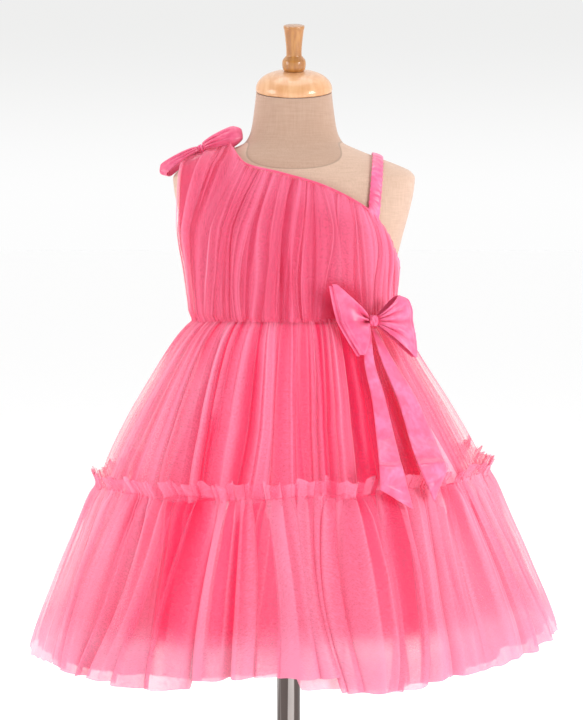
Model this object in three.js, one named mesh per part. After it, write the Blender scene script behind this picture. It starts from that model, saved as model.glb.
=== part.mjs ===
// A toddler's one-shoulder tulle party dress, dressed on a child's dress form with a turned wooden
// neck cap and a steel stand. Millimetres, +Z up. The dress faces -Y, so the viewer's left is -X.
// The origin is the middle of the stand's foot, on the floor.
import * as THREE from "three";

// Driving dimensions.
const POLE_X = -5; // the pole stands a little to the left of the form's middle
const RING_POWER = 2.3; // body sections are superellipses of this power
const GAP = 0.3; // between pieces that touch
const CLOTH_CLEARANCE = 1.6; // between the form and the cloth
const CLOTH_WALL = 2;
const SHOULDER_LIFT = 1.7; // the gathered shoulder stands this much further off the form
const SKIRT_WALL = 2.3;
const LINING_WALL = 1.6;
const WAIST_Z = 552;
const SEAM_Z = 403; // where the lower tier is sewn on, at the front
const HEM_Z = 250; // at the front
const NECK_TOP_Z = 761;
const NECK_TILT = THREE.MathUtils.degToRad(13.5); // the neck's cut leans forward
const POLE_RADIUS = 11;
const FOLD_PEAK = 1.5; // the highest value of the skirt's fold wave

// The form's sections: half width, and depth to the front and to the back.
const FORM_SECTIONS = [
  { z: 430, half: 84, front: 66, back: 64 },
  { z: 442, half: 91, front: 72, back: 71 },
  { z: 480, half: 96, front: 76, back: 74 },
  { z: 520, half: 91, front: 77, back: 68 },
  { z: 552, half: 88, front: 76, back: 63 },
  { z: 590, half: 92, front: 76, back: 63 },
  { z: 625, half: 100, front: 74, back: 66 },
  { z: 651, half: 107, front: 69, back: 66 },
  { z: 670, half: 111, front: 62, back: 63 },
  { z: 681, half: 112, front: 57, back: 60 },
  { z: 687, half: 108, front: 53, back: 57 },
  { z: 692, half: 98, front: 50, back: 55 },
  { z: 700, half: 77, front: 45, back: 52 },
  { z: 707, half: 59, front: 40, back: 48 },
  { z: 714, half: 45, front: 37, back: 44 },
  { z: 724, half: 40, front: 35, back: 41 },
  { z: 742, half: 37, front: 35, back: 38 },
  { z: 761, half: 35, front: 35, back: 35 },
];

// The bodice's upper edge from the left shoulder to the right side: x along the body, and height.
// The first two rows are the gathered shoulder seam, the last five the armhole.
const FRONT_EDGE = [
  { share: 0, x: -101, z: 689.5, crown: 1 },
  { share: 0.13, x: -58, z: 706, crown: 1 },
  { share: 0.19, x: -47, z: 692, crown: 0.3 },
  { share: 0.26, x: -36, z: 688, crown: 0 },
  { share: 0.4, x: -10, z: 682, crown: 0 },
  { share: 0.57, x: 20, z: 674, crown: 0 },
  { share: 0.7, x: 47, z: 662, crown: 0 },
  { share: 0.79, x: 66, z: 650.5, crown: 0 },
  { share: 0.84, x: 75, z: 642, crown: 0 },
  { share: 0.89, x: 83, z: 630, crown: 0 },
  { share: 0.94, x: 90, z: 612, crown: 0 },
  { share: 0.975, x: 94, z: 596, crown: 0 },
  { share: 1, x: 94, z: 586, crown: 0 },
];
const BACK_EDGE = [
  { share: 0, x: -101, z: 689.5, crown: 1 },
  { share: 0.13, x: -58, z: 706, crown: 1 },
  { share: 0.19, x: -48, z: 697, crown: 0.3 },
  { share: 0.26, x: -36, z: 692, crown: 0 },
  { share: 0.4, x: -10, z: 685, crown: 0 },
  { share: 0.57, x: 20, z: 676, crown: 0 },
  { share: 0.7, x: 47, z: 664, crown: 0 },
  { share: 0.79, x: 66, z: 652, crown: 0 },
  { share: 0.84, x: 75, z: 643, crown: 0 },
  { share: 0.89, x: 83, z: 630, crown: 0 },
  { share: 0.94, x: 90, z: 612, crown: 0 },
  { share: 0.975, x: 94, z: 596, crown: 0 },
  { share: 1, x: 94, z: 586, crown: 0 },
];
const ARMHOLE_X = 103; // no part of the bodice goes further to the side than this

// The skirt: radius to the side, front and back of each section, and how deep its folds are.
const UPPER_TIER = [
  { z: 551.7, side: 91.8, front: 79.8, back: 66.8, fold: 0.3 },
  { z: 545, side: 97, front: 86.5, back: 74, fold: 0.8 },
  { z: 532, side: 105, front: 95, back: 85, fold: 2.2 },
  { z: 505, side: 121, front: 111, back: 104, fold: 3.4 },
  { z: 465, side: 145, front: 134, back: 129, fold: 4.4 },
  { z: 428, side: 165, front: 154, back: 151, fold: 3.4 },
  { z: 401, side: 180, front: 169, back: 167, fold: 0.2 },
];
const LOWER_TIER = [
  { z: 418, side: 187.5, front: 177, back: 175, fold: 3 },
  { z: 410, side: 185, front: 174, back: 172, fold: 1.6 },
  { z: SEAM_Z, side: 182.9, front: 171.9, back: 169.9, fold: 0.2 },
  { z: 392, side: 188.5, front: 178, back: 176, fold: 2.6 },
  { z: 366, side: 198, front: 188, back: 186, fold: 5.5 },
  { z: 320, side: 217, front: 207, back: 205, fold: 7.5 },
  { z: HEM_Z, side: 237, front: 231, back: 231, fold: 9.5 },
];
const LINING = [
  { z: 545, side: 91.2, front: 79.2, back: 66.4, fold: 0 },
  { z: 500, side: 108, front: 98, back: 90, fold: 1.5 },
  { z: 436, side: 137, front: 128, back: 122, fold: 3 },
  { z: 360, side: 171, front: 162, back: 158, fold: 4 },
  { z: 282, side: 203, front: 194, back: 192, fold: 4.5 },
];

// How far the sewn lines run up or down from level, by the cosine of the angle: the right side of
// the tier's seam and of the hem hangs higher than the left.
const seamRise = (c) => 6 * c + 4.8 * c * c;
const hemRise = (c) => 11 * c - 5 * c * c;
function rise(c, z) {
  if (z > SEAM_Z) return (seamRise(c) * (WAIST_Z - Math.min(z, WAIST_Z))) / (WAIST_Z - SEAM_Z);
  return THREE.MathUtils.mapLinear(z, SEAM_Z, HEM_Z, seamRise(c), hemRise(c));
}

// Smooth reading of one named column of a table that is sorted on its key column.
function column(table, key, name, at) {
  const rows = table[0][key] < table.at(-1)[key] ? table : [...table].reverse();
  const last = rows.length - 1;
  let i = 0;
  while (i < last - 1 && at > rows[i + 1][key]) i++;
  const slope = (j) => {
    if (j <= 0 || j >= last) return 0.5 * secant(Math.min(Math.max(j, 0), last - 1));
    const [a, b] = [secant(j - 1), secant(j)];
    return a * b <= 0 ? 0 : (2 * a * b) / (a + b);
  };
  const secant = (j) => (rows[j + 1][name] - rows[j][name]) / (rows[j + 1][key] - rows[j][key]);
  const width = rows[i + 1][key] - rows[i][key];
  const t = THREE.MathUtils.clamp((at - rows[i][key]) / width, 0, 1);
  const [s, u] = [t * t, t * t * t];
  return (
    (2 * u - 3 * s + 1) * rows[i][name] +
    (u - 2 * s + t) * width * slope(i) +
    (3 * s - 2 * u) * rows[i + 1][name] +
    (u - s) * width * slope(i + 1)
  );
}

// The same column read in straight lines between its rows, as the form's faces run.
function straight(table, name, z) {
  const i = Math.max(table.findIndex((row) => row.z >= z), 1);
  return THREE.MathUtils.mapLinear(z, table[i - 1].z, table[i].z, table[i - 1][name], table[i][name]);
}

// How far up the neck's lean has come at a height: 0 at the shoulders, 1 at the cut.
const lean = (z) => THREE.MathUtils.smoothstep(z, 714, NECK_TOP_Z) * Math.tan(NECK_TILT);

// A point of the form at a height and at an angle from +X, moved out along the surface's normal.
// Angles from 0 to 180 degrees are the front, from 180 to 360 the back.
function formPoint(angle, z, lift) {
  const [c, s] = [Math.cos(angle), -Math.sin(angle)];
  const side = s < 0 ? "front" : "back";
  const [half, deep] = [straight(FORM_SECTIONS, "half", z), straight(FORM_SECTIONS, side, z)];
  const power = (v, n) => Math.sign(v) * Math.abs(v) ** n;
  const [u, v] = [power(c, 2 / RING_POWER), power(s, 2 / RING_POWER)];
  const step = 0.5;
  const growth = (name) =>
    (column(FORM_SECTIONS, "z", name, z + step) - column(FORM_SECTIONS, "z", name, z - step)) / (2 * step);
  const normal = new THREE.Vector3(
    power(u, RING_POWER - 1) / half,
    power(v, RING_POWER - 1) / deep,
    -((Math.abs(u) ** RING_POWER * growth("half")) / half + (Math.abs(v) ** RING_POWER * growth(side)) / deep),
  ).normalize();
  const point = new THREE.Vector3(half * u, deep * v, z).addScaledVector(normal, lift);
  point.z += point.y * lean(z);
  return point;
}

// The angle at which the form's section at a height has that x, in front of the body.
function angleAt(x, z) {
  const share = Math.min(Math.abs(x) / column(FORM_SECTIONS, "z", "half", z), 1) ** (RING_POWER / 2);
  return x > 0 ? Math.acos(share) : Math.PI - Math.acos(share);
}

// A closed solid from rows of points: the faces between rows, and a face over each end.
// Rings close on themselves; otherwise the rows have an inner and an outer end.
function meshOf(name, positions, indices, material) {
  const geometry = new THREE.BufferGeometry();
  geometry.setAttribute("position", new THREE.Float32BufferAttribute(positions, 3));
  geometry.setIndex(indices);
  geometry.computeVertexNormals();
  const mesh = new THREE.Mesh(geometry, material);
  mesh.name = name;
  return mesh;
}

// A cloth wall: at(i, j, side) gives the point of column i and row j, on the inside (0) or outside (1).
// Seen from outside, columns run to the right and rows run upwards.
function wall(name, columns, rows, at, material) {
  const positions = [];
  const indices = [];
  for (const side of [0, 1])
    for (let j = 0; j <= rows; j++)
      for (let i = 0; i <= columns; i++) positions.push(...at(i, j, side).toArray());
  const id = (i, j, side) => (side * (rows + 1) + j) * (columns + 1) + i;
  const quad = (a, b, c, d) => indices.push(a, b, c, a, c, d);
  for (let j = 0; j < rows; j++)
    for (let i = 0; i < columns; i++) {
      quad(id(i, j, 1), id(i + 1, j, 1), id(i + 1, j + 1, 1), id(i, j + 1, 1));
      quad(id(i, j, 0), id(i, j + 1, 0), id(i + 1, j + 1, 0), id(i + 1, j, 0));
    }
  for (let i = 0; i < columns; i++) {
    quad(id(i, 0, 0), id(i + 1, 0, 0), id(i + 1, 0, 1), id(i, 0, 1));
    quad(id(i, rows, 1), id(i + 1, rows, 1), id(i + 1, rows, 0), id(i, rows, 0));
  }
  for (let j = 0; j < rows; j++) {
    quad(id(0, j, 0), id(0, j, 1), id(0, j + 1, 1), id(0, j + 1, 0));
    quad(id(columns, j, 1), id(columns, j, 0), id(columns, j + 1, 0), id(columns, j + 1, 1));
  }
  return meshOf(name, positions, indices, material);
}

function cloth(color, roughness) {
  return new THREE.MeshStandardMaterial({ color, roughness, metalness: 0, side: THREE.DoubleSide });
}

const MATERIALS = {
  linen: cloth(0xe3c3a6, 0.9),
  wood: new THREE.MeshStandardMaterial({ color: 0xd9a06b, roughness: 0.35, metalness: 0 }),
  steel: new THREE.MeshStandardMaterial({ color: 0xc8c8cc, roughness: 0.15, metalness: 1 }),
  tulle: cloth(0xf9719a, 0.85),
  lining: cloth(0xf2315f, 0.6),
  satin: cloth(0xf878b0, 0.35),
};

// The form's body: covered rings from the hips to the neck's cut, closed flat at both ends.
function formTorso() {
  const around = 36;
  const heights = FORM_SECTIONS.map((section) => section.z);
  const positions = [];
  for (const z of heights)
    for (let i = 0; i < around; i++)
      positions.push(...formPoint((-2 * Math.PI * i) / around, z, 0).toArray());
  const [bottom, top] = [heights[0], heights.at(-1)];
  positions.push(0, 0, bottom, 0, 0, top);
  const [low, high] = [heights.length * around, heights.length * around + 1];
  const indices = [];
  for (let j = 0; j < heights.length - 1; j++)
    for (let i = 0; i < around; i++) {
      const [a, b] = [j * around + i, j * around + ((i + 1) % around)];
      indices.push(a, b, b + around, a, b + around, a + around);
    }
  const ring = (heights.length - 1) * around;
  for (let i = 0; i < around; i++) {
    indices.push(low, (i + 1) % around, i);
    indices.push(high, ring + i, ring + ((i + 1) % around));
  }
  return meshOf("form_torso", positions, indices, MATERIALS.linen);
}

// A turned piece: the profile gives radius and height, and starts and ends on the axis or closes.
function turned(name, profile, segments, material) {
  const geometry = new THREE.LatheGeometry(
    profile.map(([radius, height]) => new THREE.Vector2(radius, height)),
    segments,
  );
  geometry.rotateX(Math.PI / 2);
  const mesh = new THREE.Mesh(geometry, material);
  mesh.name = name;
  return mesh;
}

// The neck cap and its finial stand square on the neck's leaning cut.
function neckTop() {
  const [radius, domeHeight, seat, flat] = [35.4, 18.5, 11.4, 0.6];
  const dome = [[0, 0], [radius - 1.5, 0], [radius, 1.5]];
  for (let k = 1; k <= 5; k++) {
    const angle = (k / 6) * (Math.PI / 2);
    const out = seat + (radius - seat) * Math.cos(angle);
    dome.push([out, 1.5 + (domeHeight - 1.5 - flat) * Math.sin(angle)]);
  }
  dome.push([seat, domeHeight], [0, domeHeight]);
  const finial = [
    [0, 0], [9.2, 0], [10.6, 2.5], [11, 6], [10.6, 9.5], [8.4, 12.6], [7.1, 14.2],
    [7.2, 20], [7.9, 28], [9, 37], [9.7, 41], [9.2, 42], [0, 42],
  ];
  const group = new THREE.Group();
  group.position.set(0, 0, NECK_TOP_Z);
  group.rotation.x = NECK_TILT;
  const cap = turned("neck_cap", dome, 30, MATERIALS.wood);
  cap.position.z = GAP;
  const knob = turned("neck_finial", finial, 18, MATERIALS.wood);
  knob.position.z = 2 * GAP + domeHeight;
  group.add(cap, knob);
  return group;
}

// The stand: a round foot with a socket, the pole, and the flange under the form.
function stand() {
  const [footRadius, socketTop, socketFloor, wallRadius] = [150, 42, 13, 16];
  const bore = POLE_RADIUS + GAP;
  const foot = [
    [0, 0], [footRadius - 2, 0], [footRadius, 2], [footRadius, 7], [footRadius - 4, 10],
    [60, 13], [24, 16], [wallRadius, 20], [wallRadius, socketTop], [bore, socketTop], [bore, socketFloor], [0, socketFloor],
  ];
  const poleTop = FORM_SECTIONS[0].z - GAP;
  const pole = [
    [0, socketFloor + GAP], [POLE_RADIUS, socketFloor + GAP], [POLE_RADIUS, poleTop], [0, poleTop],
  ];
  const flangeRadius = 34;
  const flange = [
    [bore, poleTop - 34], [wallRadius, poleTop - 34], [wallRadius, poleTop - 5], [flangeRadius, poleTop - 5],
    [flangeRadius, poleTop], [bore, poleTop], [bore, poleTop - 34],
  ];
  const group = new THREE.Group();
  group.position.x = POLE_X;
  group.add(turned("stand_foot", foot, 36, MATERIALS.steel));
  group.add(turned("stand_pole", pole, 24, MATERIALS.steel));
  group.add(turned("stand_flange", flange, 24, MATERIALS.steel));
  return group;
}

// One gather's profile across the cloth: 0 in the valley, 1 on the ridge, uneven from one to the next.
function gather(phase, seed) {
  const k = Math.floor(phase);
  const size = 0.72 + 0.28 * Math.sin(2.4 * k + seed) * Math.cos(1.1 * k + 2 * seed);
  return size * Math.sin(Math.PI * (phase - k)) ** 2;
}

// Where the bodice's cloth lies at a share of its width and of its height, on the front or the back.
function bodiceSpot(edge, share, height) {
  const crown = column(edge, "share", "crown", share);
  const top = { x: column(edge, "share", "x", share), z: column(edge, "share", "z", share) };
  if (crown > 0.99) top.z = ridgeHeight(top.x);
  const eased = THREE.MathUtils.lerp(height, 1 - (1 - height) ** 2.3, crown);
  const z = THREE.MathUtils.lerp(WAIST_Z + GAP, top.z, eased);
  const half = column(FORM_SECTIONS, "z", "half", z);
  const spread = -Math.cos(Math.PI * share) * Math.min(half, ARMHOLE_X);
  const x = THREE.MathUtils.lerp(spread, top.x, eased * eased);
  const onSeam = share === 0 && z < 632;
  return { x: onSeam || share === 1 ? Math.sign(x) * half : x, z, crown };
}

// A bodice panel: a smooth inside on the body, and gathers raised on the outside.
function bodicePanel(name, edge, gathers, isFront) {
  const [perGather, rows, seed] = [2, 8, isFront ? 0.4 : 1.9];
  const columns = gathers * perGather;
  const at = (i, j, side) => {
    const share = isFront ? i / columns : 1 - i / columns;
    const height = j / rows;
    const { x, z, crown } = bodiceSpot(edge, share, height);
    const angle = angleAt(x, z) * (isFront ? 1 : -1);
    const depth = 1 + 1.4 * Math.sin(Math.PI * Math.min(height + 0.12, 1));
    const ridge = side * (CLOTH_WALL + depth * gather(share * gathers + 0.12 * Math.sin(5 * height), seed));
    const point = formPoint(angle, z, CLOTH_CLEARANCE + SHOULDER_LIFT * crown + ridge);
    point.y = isFront ? Math.min(point.y, -GAP / 2) : Math.max(point.y, GAP / 2);
    if (j === 0) point.z = WAIST_Z + GAP;
    return point;
  };
  return wall(name, columns, rows, at, MATERIALS.tulle);
}

// A narrow binding that sits on the bodice's neck edge, from the shoulder seam to the strap.
function neckBinding(name, edge, isFront) {
  const [steps, from, to] = [26, 0.15, 0.785];
  const [height, thick] = [2.6, CLOTH_WALL];
  const at = (i, j, side) => {
    const share = isFront ? from + ((to - from) * i) / steps : to - ((to - from) * i) / steps;
    const { x, z, crown } = bodiceSpot(edge, share, 1);
    const raised = z + 2 * GAP + height * j;
    const lift = CLOTH_CLEARANCE + SHOULDER_LIFT * crown + side * thick;
    return formPoint(angleAt(x, raised) * (isFront ? 1 : -1), raised, lift);
  };
  return wall(name, steps, 1, at, MATERIALS.satin);
}

// The ruched strap, over the right shoulder from the front neck edge to the back one.
function shoulderStrap() {
  const [steps, halfWidth, thick, ruche, ruffles] = [36, 5.2, 1.2, 0.8, 18];
  const [endX, ridgeX] = [71, 78];
  const at = (i, j, side) => {
    const along = 1 - i / steps;
    const isFront = along < 0.5;
    const over = Math.sin(Math.PI * along);
    const x = THREE.MathUtils.lerp(endX, ridgeX, over ** 0.8) + (j - 1) * halfWidth;
    const ridge = ridgeHeight(x);
    const low = GAP + column(isFront ? FRONT_EDGE : BACK_EDGE, "x", "z", x);
    const z = low + (ridge - low) * (1 - (1 - 2 * Math.min(along, 1 - along)) ** 2);
    const raised = thick + ruche * gather(along * ruffles, 0.7) * (j === 1 ? 1 : 0.6);
    const angle = along === 0.5 ? 0 : angleAt(x, z) * (isFront ? 1 : -1);
    return formPoint(angle, z, CLOTH_CLEARANCE + side * raised);
  };
  return wall("shoulder_strap", steps, 2, at, MATERIALS.satin);
}

// The height of the shoulder's ridge at a distance from the middle.
function ridgeHeight(x) {
  let [low, high] = [683, 714];
  for (let k = 0; k < 24; k++) {
    const middle = (low + high) / 2;
    if (column(FORM_SECTIONS, "z", "half", middle) > Math.abs(x)) low = middle;
    else high = middle;
  }
  return low;
}

// The skirt's folds at an angle: sharp small ones on a few broad ones, uneven all the way round.
function foldWave(angle, count, seed) {
  const drift = angle + 0.035 * Math.sin(5 * angle + seed) + 0.02 * Math.sin(11 * angle + 2 * seed);
  const size = 0.7 + 0.3 * Math.sin(7 * angle + 3 * seed);
  const broad = 0.3 * Math.sin(9 * angle + seed) + 0.2 * Math.sin(4 * angle + 2.5 * seed);
  return size * Math.cos(count * drift) + broad;
}

// The skirt's sections change from the body's shape at the waist to an ellipse at the tier's seam.
const sectionPower = (z) => THREE.MathUtils.mapLinear(THREE.MathUtils.clamp(z, 460, WAIST_Z), 460, WAIST_Z, 2, RING_POWER);

// Half of a skirt tier, front or back, as a folded wall between its side seams.
function skirtPanel(name, { table, heights, folds, perFold, seed, thick, material }, isFront) {
  const rows = heights.length - 1;
  const columns = (folds / 2) * perFold;
  const at = (i, j, side) => {
    const angle = (isFront ? Math.PI : 0) + (Math.PI * i) / columns;
    const z = heights[j];
    const out = column(table, "z", "fold", z) * foldWave(angle, folds, seed) - (1 - side) * thick;
    const power = 2 / sectionPower(z);
    const [c, s] = [Math.cos(angle), Math.sin(angle)];
    const x = Math.sign(c) * Math.abs(c) ** power * (column(table, "z", "side", z) + out);
    const y = Math.abs(s) ** power * (column(table, "z", isFront ? "front" : "back", z) + out);
    return new THREE.Vector3(x, isFront ? -Math.max(y, GAP / 2) : Math.max(y, GAP / 2), z + rise(c, z));
  };
  return wall(name, columns, rows, at, material);
}

// How far the dress reaches to the front at a place near its right side: what lies on it stays outside.
function dressReach(x, z) {
  const tierReach = (table, level) => {
    const fold = FOLD_PEAK * column(table, "z", "fold", level);
    const [side, front] = [column(table, "z", "side", level) + fold, column(table, "z", "front", level) + fold];
    const power = sectionPower(level);
    return front * Math.max(1 - Math.abs(x / side) ** power, 0) ** (1 / power);
  };
  let reach = 0;
  for (const near of [-4, 0, 4]) {
    const level = z + near - rise(0.6, z + near);
    if (level < 552) reach = Math.max(reach, tierReach(UPPER_TIER, Math.max(level, 401)));
    if (level < 430) reach = Math.max(reach, tierReach(LOWER_TIER, Math.min(level, 418)));
    if (z + near > 545) {
      const body = formPoint(angleAt(x, Math.max(z, 552)), Math.max(z, 552), CLOTH_CLEARANCE + CLOTH_WALL + 4.4);
      reach = Math.max(reach, -body.y);
    }
  }
  return reach;
}

// The waist bow lies on the dress, and past the dress's side it goes straight on.
function waistRest(x, z) {
  const [edge, slope] = [78, 0.45];
  return -dressReach(Math.min(x, edge), z) - 1 + slope * Math.max(x - edge, 0);
}

// A bow's loop: a band that leaves the knot, turns round at its end and comes back in front.
// place(s, v) is the loop's back at a share of its reach and of its width; out is the way it faces.
function bowLoop(name, { place, out, reach, isLeft }) {
  const [steps, turns, rows, thick] = [3, 3, 4, 1.2];
  const stops = [];
  for (let k = 0; k < steps; k++) stops.push([k / steps, -Math.PI / 2]);
  for (let k = 0; k <= turns; k++) stops.push([1, -Math.PI / 2 + (Math.PI * k) / turns]);
  for (let k = steps - 1; k >= 0; k--) stops.push([k / steps, Math.PI / 2]);
  const at = (i, j, side) => {
    const [s, turn] = stops[i];
    const v = isLeft ? j / rows : 1 - j / rows;
    const opening = 0.35 + 1.35 * s ** 0.7;
    const half = opening + side * thick;
    const crease = turn > 0 ? 1.4 * s * Math.abs(Math.sin(1.5 * Math.PI * v)) : 0;
    const lift = 1 + thick + opening + half * Math.sin(turn) + crease;
    return place(s + (half * Math.cos(turn)) / reach, v).addScaledVector(out, lift);
  };
  return wall(name, stops.length - 1, rows, at, MATERIALS.satin);
}

// The point of a four-cornered face: corners at the knot (low, high) and at the loop's end (low, high).
function onFace([knotLow, knotHigh, endLow, endHigh], s, v) {
  const inner = new THREE.Vector3(...knotLow).lerp(new THREE.Vector3(...knotHigh), v);
  const outer = new THREE.Vector3(...endLow).lerp(new THREE.Vector3(...endHigh), v);
  return inner.lerp(outer, s);
}

// The knot of a bow: a short barrel of satin.
function bowKnot(name, [radius, half, depth], place, tilt) {
  const profile = [[0, -1], [0.72, -1], [0.94, -0.65], [1, 0], [0.94, 0.65], [0.72, 1], [0, 1]];
  const knot = turned(name, profile.map(([r, h]) => [r * radius, h * half]), 12, MATERIALS.satin);
  knot.geometry.scale(1, depth / radius, 1);
  knot.position.set(...place);
  knot.rotation.y = tilt;
  return knot;
}

// The bow at the waist: corners as [x, 0, z], which the dress then pushes forward.
function waistBow() {
  const facing = new THREE.Vector3(0.3, -0.95, 0).normalize();
  const corners = {
    left: [[62, 0, 549], [62, 0, 556], [55, 0, 524], [36, 0, 586]],
    right: [[74.6, 0, 549], [74.6, 0, 555], [99, 0, 522], [97, 0, 577]],
  };
  const group = new THREE.Group();
  for (const [side, corner] of Object.entries(corners)) {
    const place = (s, v) => {
      const point = onFace(corner, s, v);
      point.y = waistRest(point.x, point.z);
      return point;
    };
    group.add(bowLoop("waist_bow_" + side + "_loop", { place, out: facing, reach: 30, isLeft: side === "left" }));
  }
  group.add(bowKnot("waist_bow_knot", [5.4, 7, 6.6], [68.8, waistRest(68.8, 552) - 7.7, 552.5], 0));
  return group;
}

// The small bow on the gathered shoulder: one loop lies down the shoulder, the other stands up.
function shoulderBow() {
  const corners = {
    left: [[-91, -10, 702], [-91, 2, 707], [-122, -13, 684], [-121, 5, 691]],
    right: [[-79.6, -10, 708.5], [-78.6, 2, 713.5], [-52, -14, 714], [-56, 5, 728]],
  };
  const facing = { left: new THREE.Vector3(-0.35, -0.45, 0.82), right: new THREE.Vector3(-0.35, -0.75, 0.6) };
  const group = new THREE.Group();
  for (const [side, corner] of Object.entries(corners)) {
    const place = (s, v) => onFace(corner, s, v);
    group.add(
      bowLoop("shoulder_bow_" + side + "_loop", { place, out: facing[side].normalize(), reach: 32, isLeft: side === "left" }),
    );
  }
  group.add(bowKnot("shoulder_bow_knot", [4.4, 6, 5], [-85.6, -7.5, 710], 0.2));
  return group;
}

// A ribbon tail that hangs from the waist bow over the skirt, cut aslant at its end.
function bowTail(name, rows) {
  const [steps, across, thick] = [14, 3, 1.1];
  const at = (i, j, side) => {
    const down = 1 - j / steps;
    const [x, z] = ["", "Z"].map((axis) =>
      THREE.MathUtils.lerp(column(rows, "down", "left" + axis, down), column(rows, "down", "right" + axis, down), i / across),
    );
    const off = column(rows, "down", "off", down) + (1 - i / across) * column(rows, "down", "twist", down);
    const lift = 1 + off + side * thick;
    return new THREE.Vector3(x, -dressReach(x, z) - lift, z);
  };
  return wall(name, across, steps, at, MATERIALS.satin);
}

// The tails' edges from the knot down: x and height of the left and the right edge, how far the tail
// stands off the skirt, and how much further its left edge is turned out.
const TAIL_LEFT = [
  { down: 0, left: 64.5, leftZ: 545.2, right: 69, rightZ: 545.2, off: 0, twist: 0 },
  { down: 0.17, left: 62.5, leftZ: 521, right: 71, rightZ: 521, off: 1, twist: 0 },
  { down: 0.45, left: 69.5, leftZ: 482, right: 81, rightZ: 484, off: 0.5, twist: 1 },
  { down: 0.75, left: 73.5, leftZ: 436, right: 92, rightZ: 438, off: 0.5, twist: 2 },
  { down: 1, left: 74.5, leftZ: 410, right: 104, rightZ: 392, off: 0.5, twist: 1 },
];
const TAIL_RIGHT = [
  { down: 0, left: 69.8, leftZ: 545.2, right: 74.3, rightZ: 545.2, off: 0, twist: 0 },
  { down: 0.17, left: 77, leftZ: 521, right: 87, rightZ: 521, off: 1, twist: 0 },
  { down: 0.45, left: 93, leftZ: 482, right: 109, rightZ: 485, off: 0.5, twist: 1 },
  { down: 0.75, left: 106, leftZ: 437, right: 126, rightZ: 447, off: 0.5, twist: 2 },
  { down: 1, left: 123, leftZ: 397, right: 135, rightZ: 424, off: 0.5, twist: 1 },
];

const PANELS = {
  skirt_upper: {
    table: UPPER_TIER, heights: [401, 422, 460, 505, 536, 551.7],
    folds: 36, perFold: 3, seed: 0.5, thick: SKIRT_WALL, material: MATERIALS.tulle,
  },
  skirt_lower: {
    table: LOWER_TIER, heights: [HEM_Z, 310, 360, 390, SEAM_Z, 410, 418],
    folds: 44, perFold: 3, seed: 3.13, thick: SKIRT_WALL, material: MATERIALS.tulle,
  },
  skirt_lining: {
    table: LINING, heights: [282, 360, 436, 500, 545],
    folds: 16, perFold: 3, seed: 3.3, thick: LINING_WALL, material: MATERIALS.lining,
  },
};

const part = new THREE.Group();
part.add(stand(), formTorso(), neckTop());
part.add(bodicePanel("bodice_front", FRONT_EDGE, 36, true));
part.add(bodicePanel("bodice_back", BACK_EDGE, 24, false));
part.add(neckBinding("neck_binding_front", FRONT_EDGE, true));
part.add(neckBinding("neck_binding_back", BACK_EDGE, false));
part.add(shoulderStrap(), shoulderBow(), waistBow());
part.add(bowTail("waist_bow_tail_left", TAIL_LEFT), bowTail("waist_bow_tail_right", TAIL_RIGHT));
for (const [name, panel] of Object.entries(PANELS))
  part.add(skirtPanel(name + "_front", panel, true), skirtPanel(name + "_back", panel, false));
export default part;
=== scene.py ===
import math

import bpy
import numpy as np
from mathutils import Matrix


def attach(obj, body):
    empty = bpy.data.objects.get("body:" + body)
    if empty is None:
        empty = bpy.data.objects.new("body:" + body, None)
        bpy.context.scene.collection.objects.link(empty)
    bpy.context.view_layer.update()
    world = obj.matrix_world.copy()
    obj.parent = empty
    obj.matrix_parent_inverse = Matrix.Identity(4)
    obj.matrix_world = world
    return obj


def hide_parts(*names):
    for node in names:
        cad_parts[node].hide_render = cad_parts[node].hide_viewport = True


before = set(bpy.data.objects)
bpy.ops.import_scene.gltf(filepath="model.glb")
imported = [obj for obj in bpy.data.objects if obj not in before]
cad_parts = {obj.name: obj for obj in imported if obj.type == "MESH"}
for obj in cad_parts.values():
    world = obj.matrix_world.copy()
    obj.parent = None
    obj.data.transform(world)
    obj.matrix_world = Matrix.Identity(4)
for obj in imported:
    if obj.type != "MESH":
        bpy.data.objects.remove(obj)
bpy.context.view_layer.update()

# The stand: a round steel foot with a socket, a tube pole and the flange that the form sits on.
# All three are turned or drawn steel, polished and chromed; the pole is pushed into the socket.
# The pole stands a little to the left of the form's middle.
POLE_X = -5.0
FORM_BOTTOM = 430.0
SEAT_GAP = 0.3


class Wire:
    """A socket in a finish's node tree. Sums on it add Math nodes, and put adds any other node."""

    def __init__(self, tree, socket=None):
        self.tree = tree
        self.socket = socket

    def put(self, kind, inputs=None, output=0, **settings):
        node = self.tree.nodes.new("ShaderNode" + kind)
        for key, value in settings.items():
            setattr(node, key, value)
        for key, value in (inputs or {}).items():
            if isinstance(value, Wire):
                self.tree.links.new(value.socket, node.inputs[key])
            else:
                node.inputs[key].default_value = value
        return Wire(self.tree, node.outputs[output])

    def sum(self, operation, first, second=0.0):
        return self.put("Math", {0: first, 1: second}, operation=operation)

    def __add__(self, other):
        return self.sum("ADD", self, other)

    def __sub__(self, other):
        return self.sum("SUBTRACT", self, other)

    def __rsub__(self, other):
        return self.sum("SUBTRACT", other, self)

    def __mul__(self, other):
        return self.sum("MULTIPLY", self, other)

    def __truediv__(self, other):
        return self.sum("DIVIDE", self, other)

    __radd__ = __add__
    __rmul__ = __mul__

    def between(self, low, high):
        """0 below low, 1 above high and a soft slope between them."""
        span = {"Value": self, "From Min": low, "From Max": high}
        return self.put("MapRange", span, interpolation_type="SMOOTHSTEP")

    def mix(self, first, second):
        """The first colour where this is 0 and the second where it is 1."""
        return self.put("Mix", {0: self, 6: first, 7: second}, output=2, data_type="RGBA")

    def into(self, shader, socket):
        self.tree.links.new(self.socket, shader.inputs[socket])


def dye(red, green, blue):
    """A colour as it is read off a screen, from 0 to 255, as the shader's own linear colour."""
    shares = np.array([red, green, blue]) / 255
    linear = np.where(shares > 0.04045, ((shares + 0.055) / 1.055) ** 2.4, shares / 12.92)
    return (*[float(v) for v in linear], 1.0)


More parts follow.
